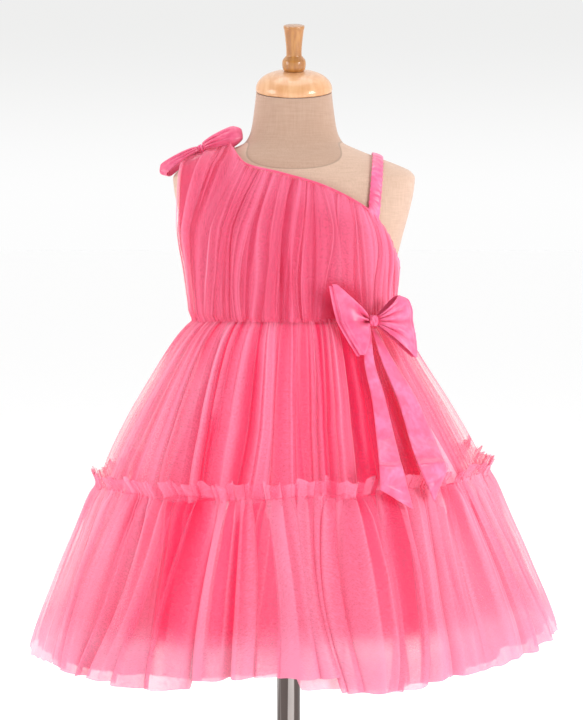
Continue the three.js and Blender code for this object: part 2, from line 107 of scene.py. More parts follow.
def new_finish(name, **constants):
    """A material with its shader's plain sockets set, and a wire to build on."""
    material = bpy.data.materials.new(name)
    material.use_nodes = True
    shader = material.node_tree.nodes["Principled BSDF"]
    for socket, value in constants.items():
        shader.inputs[socket.replace("_", " ")].default_value = value
    return material, Wire(material.node_tree), shader


def stretched_noise(wire, place, scale, detail=2.0, **more):
    """Noise drawn out by a different scale along each axis, as threads and grain are."""
    drawn = wire.put("Mapping", {"Vector": place, "Scale": scale})
    return wire.put("TexNoise", {"Vector": drawn, "Scale": 1.0, "Detail": detail, **more})


def piece_of(name, points, faces, material, maps=None, smooth=40):
    """A mesh in the row's frame from points in millimetres.

    It is smooth but for edges over that angle, and each of its maps gives a pair for each point.
    """
    mesh = bpy.data.meshes.new(name)
    mesh.from_pydata((np.asarray(points, float) / 1000).tolist(), [], faces)
    mesh.materials.append(material)
    corners = np.zeros(len(mesh.loops), int)
    mesh.loops.foreach_get("vertex_index", corners)
    for title, values in (maps or {}).items():
        layer = mesh.uv_layers.new(name=title)
        layer.data.foreach_set("uv", np.asarray(values, np.float32)[corners].ravel())
    mesh.shade_smooth()
    if smooth:
        mesh.set_sharp_from_angle(angle=math.radians(smooth))
    piece = bpy.data.objects.new(name, mesh)
    bpy.context.scene.collection.objects.link(piece)
    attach(piece, "root")
    return piece


def turned(profile, around):
    """Points and faces of a turned piece from its profile of radius and height, ends on the axis."""
    profile = np.array(profile, float)
    angle = np.linspace(0, 2 * np.pi, around, endpoint=False)
    rings = profile[1:-1]
    points = [[0, 0, profile[0, 1]]]
    points += [[r * math.cos(a), r * math.sin(a), z] for r, z in rings for a in angle]
    points.append([0, 0, profile[-1, 1]])
    last = len(points) - 1
    faces = []
    for i in range(around):
        k = (i + 1) % around
        faces.append((0, 1 + k, 1 + i))
        faces.append((last, last - around + i, last - around + k))
        for j in range(len(rings) - 1):
            a, b = 1 + j * around + i, 1 + j * around + k
            faces.append((a, b, b + around, a + around))
    return np.array(points), faces


def chromed(name, marks):
    """Polished chrome on steel with a fine haze; marks is how dark its stripes along the length are.
    These stripes are painted reflections of dark surroundings, and the steel's dark grey mottle is
    partly painted reflection too.
    """
    material, wire, shader = new_finish(name, Metallic=1.0, Coat_Weight=0.3)
    place = wire.put("TexCoord", output=3)
    haze = stretched_noise(wire, place, (400.0, 400.0, 12.0), 3.0)
    smear = wire.put("TexNoise", {"Vector": place, "Scale": 22.0, "Detail": 4.0})
    streaks = stretched_noise(wire, place, (150.0, 150.0, 3.0), 1.5)
    steel = smear.mix(dye(142, 134, 131), dye(172, 164, 161))
    # Painted reflection: dark stripes along the tube stand in for dark surroundings mirrored in the
    # chrome.
    (streaks.between(0.41, 0.5) * marks).mix(steel, dye(78, 68, 65)).into(shader, "Base Color")
    (haze * 0.05 + smear * 0.07 + 0.03).into(shader, "Roughness")
    return material


chrome = chromed("polished chrome tube", 1.0)
plate = chromed("polished chrome plate", 0.0)

foot_profile = [
    (0, 0), (146, 0), (149, 0.8), (150, 2.4), (150, 6.4), (149, 8), (146, 9.6), (120, 10.6), (60, 12.8),
    (26, 15.4), (18.5, 17.2), (16.3, 20.5), (16, 24), (16, 41), (15.4, 42), (11.9, 42), (11.3, 41.4),
    (11.3, 13), (0, 13),
]
points, faces = turned(foot_profile, 96)
foot = piece_of("stand_round_foot", points + [POLE_X, 0, 0], faces, plate)
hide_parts("stand_foot")
pole_top = FORM_BOTTOM - SEAT_GAP
pole_profile = [
    (0, 13.3), (10.4, 13.3), (11, 13.9), (11, 200), (11, pole_top - 0.6), (10.4, pole_top),
    (0, pole_top),
]
points, faces = turned(pole_profile, 64)
pole = piece_of("stand_tube_pole", points + [POLE_X, 0, 0], faces, chrome)
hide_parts("stand_pole")
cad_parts["stand_flange"].material_slots[0].material = chrome

# The form: a limbless child's torso of firm foam, covered in beige linen that is sewn round the
# neck's base and round each flattened shoulder end. Its sections are rounded boxes, fullest at
# the shoulders, and the neck's cut leans forward.
FORM_SECTIONS = {
    "z": [430, 442, 480, 520, 552, 590, 625, 651, 670, 681, 687, 692, 700, 707, 714, 724, 742, 761],
    "half": [84, 91, 96, 91, 88, 92, 100, 107, 111, 112, 108, 98, 77, 59, 45, 40, 37, 35],
    "front": [66, 72, 76, 77, 76, 76, 74, 69, 62, 57, 53, 50, 45, 40, 37, 35, 35, 35],
    "back": [64, 71, 74, 68, 63, 63, 66, 66, 63, 60, 57, 55, 52, 48, 44, 41, 38, 35],
}
RING_POWER = 2.3
NECK_TOP = 761.0
NECK_TILT = math.radians(13.5)


def column(table, name, at, key="z"):
    """One named column of a table, read smoothly between its rows."""
    keys = np.array(table[key], float)
    values = np.array(table[name], float)
    if keys[0] > keys[-1]:
        keys, values = keys[::-1], values[::-1]
    at = np.clip(at, keys[0], keys[-1])
    secant = np.diff(values) / np.diff(keys)
    slope = np.zeros(len(keys))
    slope[0], slope[-1] = secant[0] / 2, secant[-1] / 2
    before, after = secant[:-1], secant[1:]
    product = before * after
    slope[1:-1] = np.where(product > 0, 2 * product / np.where(product > 0, before + after, 1), 0)
    i = np.clip(np.searchsorted(keys, at) - 1, 0, len(keys) - 2)
    width = keys[i + 1] - keys[i]
    t = (at - keys[i]) / width
    return (
        (2 * t**3 - 3 * t**2 + 1) * values[i]
        + (t**3 - 2 * t**2 + t) * width * slope[i]
        + (3 * t**2 - 2 * t**3) * values[i + 1]
        + (t**3 - t**2) * width * slope[i + 1]
    )


def power(value, exponent):
    return np.sign(value) * np.abs(value) ** exponent


def ease(value, low, high):
    t = np.clip((value - low) / (high - low), 0, 1)
    return t * t * (3 - 2 * t)


def form_point(angle, z, lift):
    """A point off the form at an angle from +X and a height; angles up to pi are the front."""
    angle, z, lift = np.broadcast_arrays(np.asarray(angle, float), z, lift)
    c, s = np.cos(angle), -np.sin(angle)
    front = s < 0
    deep = np.where(front, column(FORM_SECTIONS, "front", z), column(FORM_SECTIONS, "back", z))
    half = column(FORM_SECTIONS, "half", z)
    u, v = power(c, 2 / RING_POWER), power(s, 2 / RING_POWER)
    rise_half = column(FORM_SECTIONS, "half", z + 0.5) - column(FORM_SECTIONS, "half", z - 0.5)
    rise_deep = np.where(
        front,
        column(FORM_SECTIONS, "front", z + 0.5) - column(FORM_SECTIONS, "front", z - 0.5),
        column(FORM_SECTIONS, "back", z + 0.5) - column(FORM_SECTIONS, "back", z - 0.5),
    )
    normal = np.stack(
        [
            power(u, RING_POWER - 1) / half,
            power(v, RING_POWER - 1) / deep,
            -np.abs(u) ** RING_POWER * rise_half / half - np.abs(v) ** RING_POWER * rise_deep / deep,
        ],
        -1,
    )
    normal /= np.linalg.norm(normal, axis=-1, keepdims=True)
    point = np.stack([half * u, deep * v, z], -1) + normal * lift[..., None]
    point[..., 2] += point[..., 1] * ease(z, 714, NECK_TOP) * math.tan(NECK_TILT)
    return point


def grid_faces(rows, columns, closed=False, flip=False):
    """Faces between rows of points; a closed grid joins its last column to its first."""
    faces = []
    for j in range(rows - 1):
        for i in range(columns if closed else columns - 1):
            a, b = j * columns + i, j * columns + (i + 1) % columns
            face = (a, b, b + columns, a + columns)
            faces.append(face[::-1] if flip else face)
    return faces


def grid_piece(name, points, material, closed=False, flip=False, maps=None):
    """A sheet from a grid of points, with maps such as its lengths along and down the cloth."""
    rows, columns = points.shape[:2]
    flat = {}
    for title, (first, second) in (maps or {}).items():
        spread = np.broadcast_arrays(first, second, points[..., 0])
        flat[title] = np.stack(spread[:2], -1).reshape(-1, 2)
    faces = grid_faces(rows, columns, closed, flip)
    return piece_of(name, points.reshape(-1, 3), faces, material, flat, smooth=0)


linen, wire, shader = new_finish(
    "beige linen cover", Roughness=0.92, Sheen_Weight=0.25, Sheen_Roughness=0.5
)
place = wire.put("TexCoord", output=3)
slubs = stretched_noise(wire, place, (900.0, 900.0, 60.0), 2.0)
picks = stretched_noise(wire, place, (70.0, 70.0, 1100.0), 2.0)
mottle = wire.put("TexNoise", {"Vector": place, "Scale": 24.0, "Detail": 3.0})
threads = slubs * 0.5 + picks * 0.5
neck_line = wire.put("SeparateXYZ", {"Vector": wire.put("UVMap", uv_map="above_neck_seam")})
seams = 1.0 - neck_line.sum("ABSOLUTE", neck_line).between(0.0002, 0.0008)
cover = threads.between(0.1, 0.9).mix(dye(194, 161, 139), dye(222, 191, 171))
cover = (mottle.between(0.3, 0.75) * 0.35).mix(cover, dye(206, 172, 150))
# Painted shade: above the neck seam the linen is darkened, so the neck reads shaded.
cover = (neck_line.between(0.0, 0.0008) * 0.36).mix(cover, dye(150, 112, 88))
cover = (seams * 0.55).mix(cover, dye(146, 122, 104))
cover.into(shader, "Base Color")
weave = threads * 0.5 - seams * 1.5
wire.put("Bump", {"Height": weave, "Strength": 0.25, "Distance": 0.0005}).into(shader, "Normal")

around = 160
levels = np.concatenate(
    [np.linspace(430, 676, 60), np.linspace(679, 716, 40), np.linspace(719, 761, 16)]
)
ring = -np.linspace(0, 2 * np.pi, around, endpoint=False)
body = form_point(ring[None, :], levels[:, None], np.zeros((1, 1)))
points = np.concatenate([body.reshape(-1, 3), [[0, 0, 430], [0, 0, NECK_TOP]]])
dip = np.where(np.sin(ring) < 0, 7, 25) * np.abs(np.sin(ring)) ** 4
above_seam = np.concatenate([(levels[:, None] - 714 + dip[None, :]).ravel() / 1000, [-0.3, 0.05]])
seam_map = {"above_neck_seam": np.stack([above_seam, 0 * above_seam], -1)}
faces = grid_faces(len(levels), around, closed=True)
low, high, top = len(points) - 2, len(points) - 1, (len(levels) - 1) * around
for i in range(around):
    faces.append((low, (i + 1) % around, i))
    faces.append((high, top + i, top + (i + 1) % around))
torso = piece_of("form_covered_torso", points, faces, linen, seam_map, smooth=50)
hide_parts("form_torso")

# The neck cap and its finial: two turned pieces of pale wood, clear varnished, pegged square on the
# neck's leaning cut. The cap is a low dome, and the finial a bulb under a flared stem.
CAP_RADIUS, CAP_HEIGHT, FINIAL_HEIGHT = 35.4, 18.5, 42.0


def varnished(name, pale, dark, ring_scale):
    """Turned wood: stretched grain with darker lines, under a gloss varnish."""
    material, wire, shader = new_finish(name, Coat_Roughness=0.08, Coat_Weight=0.7, Roughness=0.4)
    place = wire.put("TexCoord", output=3)
    stretched = wire.put("Mapping", {"Vector": place, "Scale": (1.0, 0.5, 0.18)})
    warp = wire.put("TexNoise", {"Vector": stretched, "Scale": 60.0, "Detail": 3.0})
    growth = (ring_scale, ring_scale * 0.5, ring_scale * 0.1)
    rings = stretched_noise(wire, place, growth, 5.0, Distortion=0.6)
    pores = stretched_noise(wire, place, (2600.0, 1200.0, 160.0))
    tone = rings.between(0.32, 0.68) * 0.75 + warp * 0.25
    grain = tone.mix(pale, dark)
    grain = (pores.between(0.6, 0.75) * 0.25).mix(grain, dye(150, 98, 58))
    grain.into(shader, "Base Color")
    (rings * 0.15 + 0.32).into(shader, "Roughness")
    wire.put("Bump", {"Height": pores, "Strength": 0.08, "Distance": 0.0003}).into(shader, "Normal")
    return material


def on_neck(points, lift):
    """Points of a turned piece, set on the neck's leaning cut."""
    c, s = math.cos(NECK_TILT), math.sin(NECK_TILT)
    x, y, z = points[:, 0], points[:, 1], points[:, 2] + lift
    return np.stack([x, y * c - z * s, y * s + z * c + NECK_TOP], -1)


cap_wood = varnished("pale varnished wood", dye(234, 184, 138), dye(218, 156, 104), 170.0)
finial_wood = varnished("amber varnished wood", dye(198, 138, 70), dye(164, 102, 44), 260.0)
cap_profile = [(0, 0), (CAP_RADIUS - 1.2, 0), (CAP_RADIUS - 0.3, 0.3), (CAP_RADIUS, 1.2)]
for k in range(1, 14):
    angle = k / 14 * math.pi / 2
    radius = 11.4 + (CAP_RADIUS - 11.4) * math.cos(angle)
    cap_profile.append((radius, 1.5 + (CAP_HEIGHT - 2.1) * math.sin(angle)))
cap_profile += [(11.4, CAP_HEIGHT - 0.2), (10.8, CAP_HEIGHT), (0, CAP_HEIGHT)]
points, faces = turned(cap_profile, 96)
cap = piece_of("neck_wooden_cap", on_neck(points, 0.3), faces, cap_wood)
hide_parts("neck_cap")
finial_shape = {
    "z": [0, 2.5, 6, 9.5, 12.6, 14.2, 20, 28, 37, 40.6, 41.7],
    "r": [9.2, 10.6, 11, 10.6, 8.4, 7.1, 7.2, 7.9, 9, 9.7, 9.5],
}
finial_profile = [(0, 0)]
for z in np.linspace(0, 41.7, 60):
    finial_profile.append((float(column(finial_shape, "r", z)), float(z)))
finial_profile += [(8.6, FINIAL_HEIGHT), (0, FINIAL_HEIGHT)]
points, faces = turned(finial_profile, 64)
points = on_neck(points, CAP_HEIGHT + 0.6)
finial = piece_of("neck_wooden_finial", points, faces, finial_wood)
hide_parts("neck_finial")

# The lining skirt: plain opaque satin, cut as a flared tube and sewn in at the waist under the net.
# It shows as the strong pink between the folds, and its hem thins out to a narrow strip of net, so
# it melts away above the outer hem. It gives off a faint light of its own colour, painted light
# that keeps it strong in the shade of the folds.
WAIST_Z, SEAM_Z, HEM_Z = 552.0, 403.0, 250.0
LINING = {
    "z": [549, 500, 436, 360, 266],
    "side": [91.2, 107, 134, 170, 209],
    "left": [0, 1, 3, 2, 1],
    "front": [79.2, 98, 128, 162, 197],
    "back": [66.4, 90, 122, 158, 195],
    "fold": [0, 1.5, 3, 4, 4.5],
}


def seam_rise(c):
    return 7 * c + 2.5 * c * c


def hem_rise(c):
    return 11 * c - 5 * c * c


def rise(c, z):
    """How far the sewn lines run up or down from level: the right side hangs higher."""
    upper = seam_rise(c) * (WAIST_Z - np.minimum(z, WAIST_Z)) / (WAIST_Z - SEAM_Z)
    share = (SEAM_Z - z) / (SEAM_Z - HEM_Z)
    lower = seam_rise(c) + (hem_rise(c) - seam_rise(c)) * share
    return np.where(z > SEAM_Z, upper, lower)


def round_dress(table, angle, z, out):
    """A point of the skirt at an angle from +X and a height; the front lies at -Y."""
    c, s = np.cos(angle), np.sin(angle)
    shape = 2 / (2 + (RING_POWER - 2) * np.clip((z - 460) / (WAIST_Z - 460), 0, 1))
    deep = np.where(s < 0, column(table, "front", z), column(table, "back", z))
    fuller = np.where(c < 0, column(table, "left", z), 0) * ease(-c, 0, 0.7)
    wide = column(table, "side", z) + fuller
    x = power(c, shape) * (wide + out)
    y = power(s, shape) * (deep + out)
    return np.stack(np.broadcast_arrays(x, y, z + rise(c, z)), -1)


satin_lining, wire, shader = new_finish(
    "deep pink lining", Roughness=0.55, Sheen_Weight=0.1, Emission_Strength=0.09
)
uv = wire.put("UVMap", uv_map="cloth")
soft = wire.put("TexNoise", {"Vector": uv, "Scale": 9.0, "Detail": 2.0})
warp = stretched_noise(wire, uv, (2600.0, 90.0, 1.0))
lining_dye_and_painted_light = soft.between(0.3, 0.7).mix(dye(250, 20, 94), dye(244, 38, 102))
lining_dye_and_painted_light.into(shader, "Base Color")
# Painted light: the lining also gives off a faint light of its own colour, though it is no lamp.
lining_dye_and_painted_light.into(shader, "Emission Color")
fallen = wire.put("SeparateXYZ", {"Vector": uv}, output=1)
(1.0 - (fallen + soft * 0.006).between(0.268, 0.287) * 0.78).into(shader, "Alpha")
wire.put("Bump", {"Height": warp, "Strength": 0.12, "Distance": 0.0003}).into(shader, "Normal")

columns = 360
angle = np.linspace(0, 2 * np.pi, columns, endpoint=False)[None, :]
levels = np.linspace(549, 266, 50)[:, None]
folds = 0.8 * np.cos(16 * angle + 0.8 * np.sin(3 * angle)) + 0.5 * np.sin(7 * angle + 1.2)
lining_points = round_dress(LINING, angle, levels, column(LINING, "fold", levels) * folds)
uneven = 1.8 * np.sin(5 * angle + 1) + 1.5 * np.sin(13 * angle)
lining_points[..., 2] += ease(-levels, -330, -266) * uneven
cut = {"cloth": (angle * 0.2, (549 - levels) / 1000)}
lining = grid_piece("skirt_lining", lining_points, satin_lining, True, True, cut)
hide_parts("skirt_lining_front", "skirt_lining_back")

# The tulle: a soft nylon net with holes of about a millimetre, nearly solid only where it folds.
# Each tier is two widths of it over an under layer of stiffer, paler net, gathered on a thread, so
# it leaves the seam in tight pinches that open into broad hanging folds.
UPPER_TIER = {
    "z": [551.7, 545, 532, 505, 465, 428, 401],
    "side": [91.8, 98, 107, 123, 147, 167, 179.5],
    "left": [0, 1.5, 4, 6.5, 7, 6, 2],
    "front": [79.8, 87.5, 97, 112, 134, 154, 168],
    "back": [66.8, 75, 87, 105, 129, 151, 166],
}
LOWER_TIER = {
    "z": [418, 410, 403, 392, 366, 320, 250],
    "side": [188, 184.5, 182.4, 188, 200, 221, 248],
    "left": [1, 1.5, 2, 3, 3.5, 3, 1],
    "front": [177, 173.8, 171.4, 177.5, 189, 208, 231],
    "back": [175, 171.8, 169.4, 175.5, 187, 206, 231],
}
HEM_CUT = {
    "share": [
        0, 0.45, 0.5, 0.594, 0.626, 0.676, 0.691, 0.694, 0.73, 0.758, 0.764, 0.767, 0.808, 0.849,
        0.875, 0.892, 0.936, 1,
    ],
    "up": [4, 3, 4, 9, 4, 1, 1, 6, 7.5, 5, 5, -9, -10, -6.5, -2, 4, 8, 4],
}


def ring_noise(rng, share, waves, size):
    """Smooth random values round the skirt, from a few waves that close on themselves."""
    total = np.zeros_like(share)
    for wave in waves:
        total = total + rng.normal() * np.cos(2 * np.pi * wave * share + rng.uniform(0, 2 * np.pi))
    return total * size / math.sqrt(len(waves))


def folds(rng, count, share, spread):
    """Uneven folds along the cloth: phase, width, number, place in each and a reader of values."""
    widths = 1 + spread * rng.uniform(-1, 1, count)
    edges = np.concatenate([[0], np.cumsum(widths) / widths.sum()])
    number = np.clip(np.searchsorted(edges, share, side="right") - 1, 0, count - 1)
    within = np.clip((share - edges[number]) / np.diff(edges)[number], 0, 1)
    middles = (edges[1:] + edges[:-1]) / 2

    def read(values):
        return np.interp(share, middles, values, period=1)

    return 2 * np.pi * (number + within) + np.pi, read(np.diff(edges)), number, within, read


def fold_shade(rng, count, number, within, way, low, high, line_share):
    """How thickly the net lies over a fold, and the bright line along its bunched side, where the net
    lies thicker; the line's paler colour is partly painted highlight.
    """
    side = (rng.random(count) < 0.5)[number]
    place = np.where(side, within, 1 - within)
    thin = low + (high - low) * (rng.uniform(0, 1, count) ** 1.6)[number]
    thick = (high + rng.uniform(-0.12, 0.1, count))[number]
    start = rng.uniform(0.0, 0.45, count)[number]
    slope = ease(place, start, start + 0.5)
    fade = 1 - rng.uniform(-0.3, 0.8, count)[number] * way
    shade = thick - (thick - thin) * slope * np.clip(fade, 0.2, 1)
    bright = rng.uniform(-0.1, 1.2, count)[number] * np.clip(fade, 0, 1)
    line = np.exp(-((place / line_share) ** 2)) * bright
    return shade, np.clip(line, 0, 1)


def gathered(
    table, levels, columns, seed, count, depth, lap, shades, fine, thin, mist, doubled, parted,
    inset=0.6, frill=0.0, hem=2.2,
):
    """A gathered tier: its points, its lengths along and down, its thickness map and its length.

    depth and lap are how deep the folds stand and how far they lap over, by the share of the way
    from the seam to the hem; shades are the net's thinnest and thickest places, and fine is the
    depth of the small pinches at the seam. thin is how much cover the net loses at both sides,
    mist the even cover near them and how far it takes over, doubled the extra cover at the hem,
    and parted lists the places round the dress where folds part over the lining: place, half
    width, start and end of the way, and how far. inset is how far the net lies inside the tier's
    shape, frill the height that stands above the seam, and hem how ragged the hem is.
    """
    rng = np.random.default_rng(seed)
    share = np.linspace(0, 1, columns, endpoint=False)
    phase, width, number, within, read = folds(rng, count, share, 0.75)
    stand = read(rng.uniform(0.5, 1.4, count))
    growth = read(rng.uniform(-0.5, 0.3, count))
    over = read(rng.uniform(0.2, 1.9, count))
    lean = ring_noise(rng, share, [3, 5, 8], 1.0)
    drift = ring_noise(rng, share, [11, 17], 1.0)
    broad = ring_noise(rng, share, [5, 7, 9], 1.0)
    pinches = count * 3
    pinch_phase, pinch_width, pinch_number, pinch_within, pinch_read = folds(
        rng, pinches, share, 0.7
    )
    pinch = pinch_read(rng.uniform(0.2, 1.3, pinches))
    uneven = ring_noise(rng, share, [4, 9, 14, 23], 1.0)
    ragged = ring_noise(rng, share, [31, 47, 71, 97, 131], 1.0)
    beside = ease(np.abs(np.cos(2 * np.pi * share)), 0.84, 0.99)

    z = np.asarray(levels, float)[:, None]
    seam = SEAM_Z if frill else z[0, 0]
    down = np.maximum(seam - z, 0)
    way = down / (seam - z[-1, 0])
    up = np.maximum(z - seam, 0)
    flank = ease(np.abs(np.cos(2 * np.pi * share)), 0.45, 0.75) * (1 - 0.6 * beside)
    taut = 1 - (0.65 * beside + 0.3 * flank) * ease(way, 0, 0.3)
    deep = np.interp(way, *depth) * stand * (1 + growth * way) * taut
    lapped = np.interp(way, *lap) * over * taut
    pinched = fine * pinch * np.exp(-down / 24)
    out = deep * np.cos(phase) + pinched * np.cos(pinch_phase) + broad * 2.6 * way * taut
    out = out - 0.6 - (inset - 0.6) * ease(down, 0, 45)
    turn = share + lapped * width / (2 * np.pi) * np.sin(phase)
    turn = turn + 1.2 * np.exp(-down / 20) * pinch_width / (2 * np.pi) * np.sin(pinch_phase)
    turn = turn + 0.012 * (lean * way**1.3 + 0.25 * drift * np.sin(3 * way))
    thinnest = shades[0] + 0.12 * beside
    shade, line = fold_shade(rng, count, number, within, way, thinnest, shades[1], 0.045)
    small, small_line = fold_shade(
        rng, pinches, pinch_number, pinch_within, way, -0.18, 0.15, 0.14
    )
    shade = shade + (mist[0] - shade) * mist[1] * flank * ease(way, 0, 0.4)
    for place, half, start, stop, strength in parted:
        gap = np.exp(-(((share - place) / half) ** 2)) * ease(way, start, start + 0.2)
        shade = shade * (1 - strength * gap * ease(-way, -stop - 0.1, 0.1 - stop))
    shade = shade * (1 - thin * beside * ease(way, 0, 0.5))
    shade = shade + small * (0.6 + 0.4 * np.exp(-down / 40))
    line = np.maximum(line, small_line * (0.5 + 0.35 * np.exp(-down / 30)))
    shade = shade + doubled * ease(way, 0.66, 0.92)
    if frill:
        tip = ease(up, 0, frill)
        lump = read(rng.uniform(-1, 1, count))
        crush = ring_noise(rng, share, [83, 109, 137, 173, 211], 1.0)
        tuft = np.zeros(columns)
        for place in rng.uniform(0, 1, 46):
            apart = np.abs((share - place + 0.5) % 1 - 0.5)
            high = rng.uniform(0.4, 1.1)
            tuft = tuft + high * np.exp(-((apart / rng.uniform(0.0015, 0.004)) ** 2))
        flare = 2.6 + crush + lump + pinch * np.cos(pinch_phase)
        out = out + tip * flare * (1 - 0.75 * beside)
        curled = pinch_width / (2 * np.pi) * np.sin(pinch_phase + 2 * crush)
        turn = turn + tip * (1 - 0.8 * beside) * curled
        z = z + tip * (4.8 * tuft + 2.0 * crush + 1.4 * uneven - 4.0 * beside - 2.2)
        misty = 0.38 + 1.0 * small + 0.09 * crush + 0.14 * lump + 0.16 * tuft
        shade = shade + (misty - shade) * ease(up, 0, 2)
        line = line * (1 - 0.5 * ease(up, 0, 2))
        wavy = ring_noise(rng, share, [7, 12, 19, 31], 1.0)
        z = z + 1.9 * wavy * np.exp(-(((z - seam) / 20) ** 2))
    shade = shade - 0.15 * beside
    line = np.maximum(line, 0.55 * beside)
    z = z + (hem * (uneven + 0.25 * ragged) + 3.5 * beside) * way**3
    if table is LOWER_TIER:
        z = z + np.interp(share, HEM_CUT["share"], HEM_CUT["up"]) * way**3
    level = np.clip(z, table["z"][-1], table["z"][0])
    points = round_dress(table, 2 * np.pi * turn, level, out)
    points[..., 2] += z - level
    step = np.linalg.norm(np.diff(points, axis=0, prepend=points[:1]), axis=-1)
    across = np.linalg.norm(np.diff(points, axis=1, append=points[:, :1]), axis=-1)
    length = across.sum(axis=1).mean() / 1000
    maps = {"cloth": (share * length, np.cumsum(step, axis=0) / 1000), "folds": (shade, line)}
    return points, maps, length


def net(name, light, deep, bright, thread_share):
    """Tulle: fine cells whose threads cover what lies behind, as thickly as the map folds says."""
    material, wire, shader = new_finish(
        name, Roughness=0.75, Sheen_Weight=0.15, Sheen_Roughness=0.5
    )
    uv = wire.put("UVMap", uv_map="cloth")
    thickness = wire.put("UVMap", uv_map="folds")
    shade = wire.put("SeparateXYZ", {"Vector": thickness})
    line = wire.put("SeparateXYZ", {"Vector": thickness}, output=1)
    cells = wire.put("TexVoronoi", {"Vector": uv, "Scale": 760.0}, feature="DISTANCE_TO_EDGE")
    thread = 1.0 - cells.between(0.06, 0.2)
    streak = stretched_noise(wire, uv, (200.0, 6.0, 1.0), 2.0)
    cloud = stretched_noise(wire, uv, (26.0, 10.0, 1.0), 2.0)
    tint = shade.between(0.1, 0.7).mix(deep, light)
    # The bright colour along the lines is partly net lying thicker where it bunches and partly painted
    # highlight on the folds' edges.
    line.mix(tint, bright).into(shader, "Base Color")
    grain = wire.put("TexNoise", {"Vector": uv, "Scale": 480.0, "Detail": 1.0})
    soft = (streak - 0.5) * 0.16 + (cloud - 0.5) * 0.14
    soft = soft + (grain - 0.5) * 0.3 + (thread - 0.45) * thread_share
    cover = shade + soft + line * 0.3
    cover.sum("MAXIMUM", cover.sum("MINIMUM", cover, 0.97), 0.05).into(shader, "Alpha")
    return material


upper_net = net(
    "upper tier tulle", dye(248, 132, 168), dye(249, 80, 129), dye(252, 170, 196), 0.12
)
lower_net = net(
    "lower tier tulle", dye(248, 139, 172), dye(248, 95, 140), dye(252, 170, 196), 0.12
)
under_net = net(
    "under layers of stiffer net", dye(250, 180, 203), dye(249, 110, 153), dye(252, 192, 211), 0.08
)

upper_levels = np.concatenate([554 - np.linspace(0, 24, 15), np.linspace(526, 401, 34)])
upper_out, upper_maps, upper_length = gathered(
    UPPER_TIER, upper_levels, columns=1600, seed=11, count=64,
    depth=([0, 0.12, 0.5, 1], [0.2, 1.5, 3.0, 2.6]),
    lap=([0, 0.15, 0.6, 1], [0.3, 0.9, 1.3, 1.1]),
    shades=(0.1, 0.6), fine=0.9, thin=0.75, mist=(0.4, 0.6), doubled=0.0,
    parted=[
        (0.822, 0.011, 0.0, 1.1, 0.9), (0.858, 0.011, 0.3, 1.1, 0.6),
        (0.708, 0.007, 0.1, 1.1, 0.5), (0.667, 0.009, 0.45, 1.1, 0.85),
    ],
)
upper = grid_piece("skirt_upper_tulle", upper_out, upper_net, True, True, upper_maps)
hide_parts("skirt_upper_front", "skirt_upper_back")
upper_in, under_maps, under_length = gathered(
    UPPER_TIER, upper_levels[2::2], columns=1100, seed=12, count=42,
    depth=([0, 0.15, 0.5, 1], [0.1, 1.4, 3.6, 2.8]),
    lap=([0, 0.15, 0.6, 1], [0.3, 0.8, 1.1, 0.8]),
    shades=(0.0, 0.3), fine=0.5, inset=6.5, thin=0.6, mist=(0.82, 0.85), doubled=0.0,
    parted=[
        (0.822, 0.012, 0.0, 1.1, 0.9), (0.858, 0.012, 0.3, 1.1, 0.6),
        (0.708, 0.01, 0.1, 1.1, 0.5), (0.667, 0.011, 0.45, 1.1, 0.9),
    ],
)
upper_under = grid_piece(
    "skirt_upper_tulle_under", upper_in, under_net, True, True, under_maps
)

lower_levels = np.concatenate(
    [np.linspace(418, 403, 12), 403 - np.linspace(1.5, 24, 12), np.linspace(375, 250, 30)]
)
lower_out, lower_maps, lower_length = gathered(
    LOWER_TIER, lower_levels, columns=1700, seed=21, count=52,
    depth=([0, 0.12, 0.4, 1], [0.2, 2.4, 4.4, 5.5]),
    lap=([0, 0.12, 0.4, 1], [0.4, 1.1, 1.4, 1.4]),
    shades=(0.25, 0.6), fine=1.2, frill=14.0, thin=0.35, mist=(0.43, 0.8), doubled=0.26,
    parted=[(0.669, 0.015, -0.2, 0.75, 0.85), (0.708, 0.004, 0.0, 0.8, 0.7)],
)
lower = grid_piece("skirt_lower_tulle", lower_out, lower_net, True, True, lower_maps)
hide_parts("skirt_lower_front", "skirt_lower_back")
inner_levels = np.concatenate([403 - np.linspace(1.5, 24, 8), np.linspace(375, 254, 21)])
lower_in, inner_maps, inner_length = gathered(
    LOWER_TIER, inner_levels, columns=1300, seed=22, count=38,
    depth=([0, 0.12, 0.4, 1], [0.1, 2.0, 5.0, 6.0]),
    lap=([0, 0.12, 0.4, 1], [0.3, 0.9, 1.2, 1.2]),
    shades=(0.16, 0.34), fine=0.6, inset=8.0, hem=2.4, thin=0.2, mist=(0.62, 0.8), doubled=0.42,
    parted=[(0.669, 0.017, -0.2, 0.75, 0.9), (0.708, 0.006, 0.0, 0.8, 0.7)],
)
lower_under = grid_piece(
    "skirt_lower_tulle_under", lower_in, under_net, True, True, inner_maps
)

# The thread that gathers the lower tier: running stitches just under its standing frill, drawn
# tight so that they bed into the net all round the dress.
thread_finish, wire, shader = new_finish("deep pink thread", Roughness=0.5)
place = wire.put("TexCoord", output=3)
fleck = wire.put("TexNoise", {"Vector": place, "Scale": 900.0})
fleck.between(0.35, 0.65).mix(dye(214, 46, 88), dye(236, 84, 124)).into(shader, "Base Color")


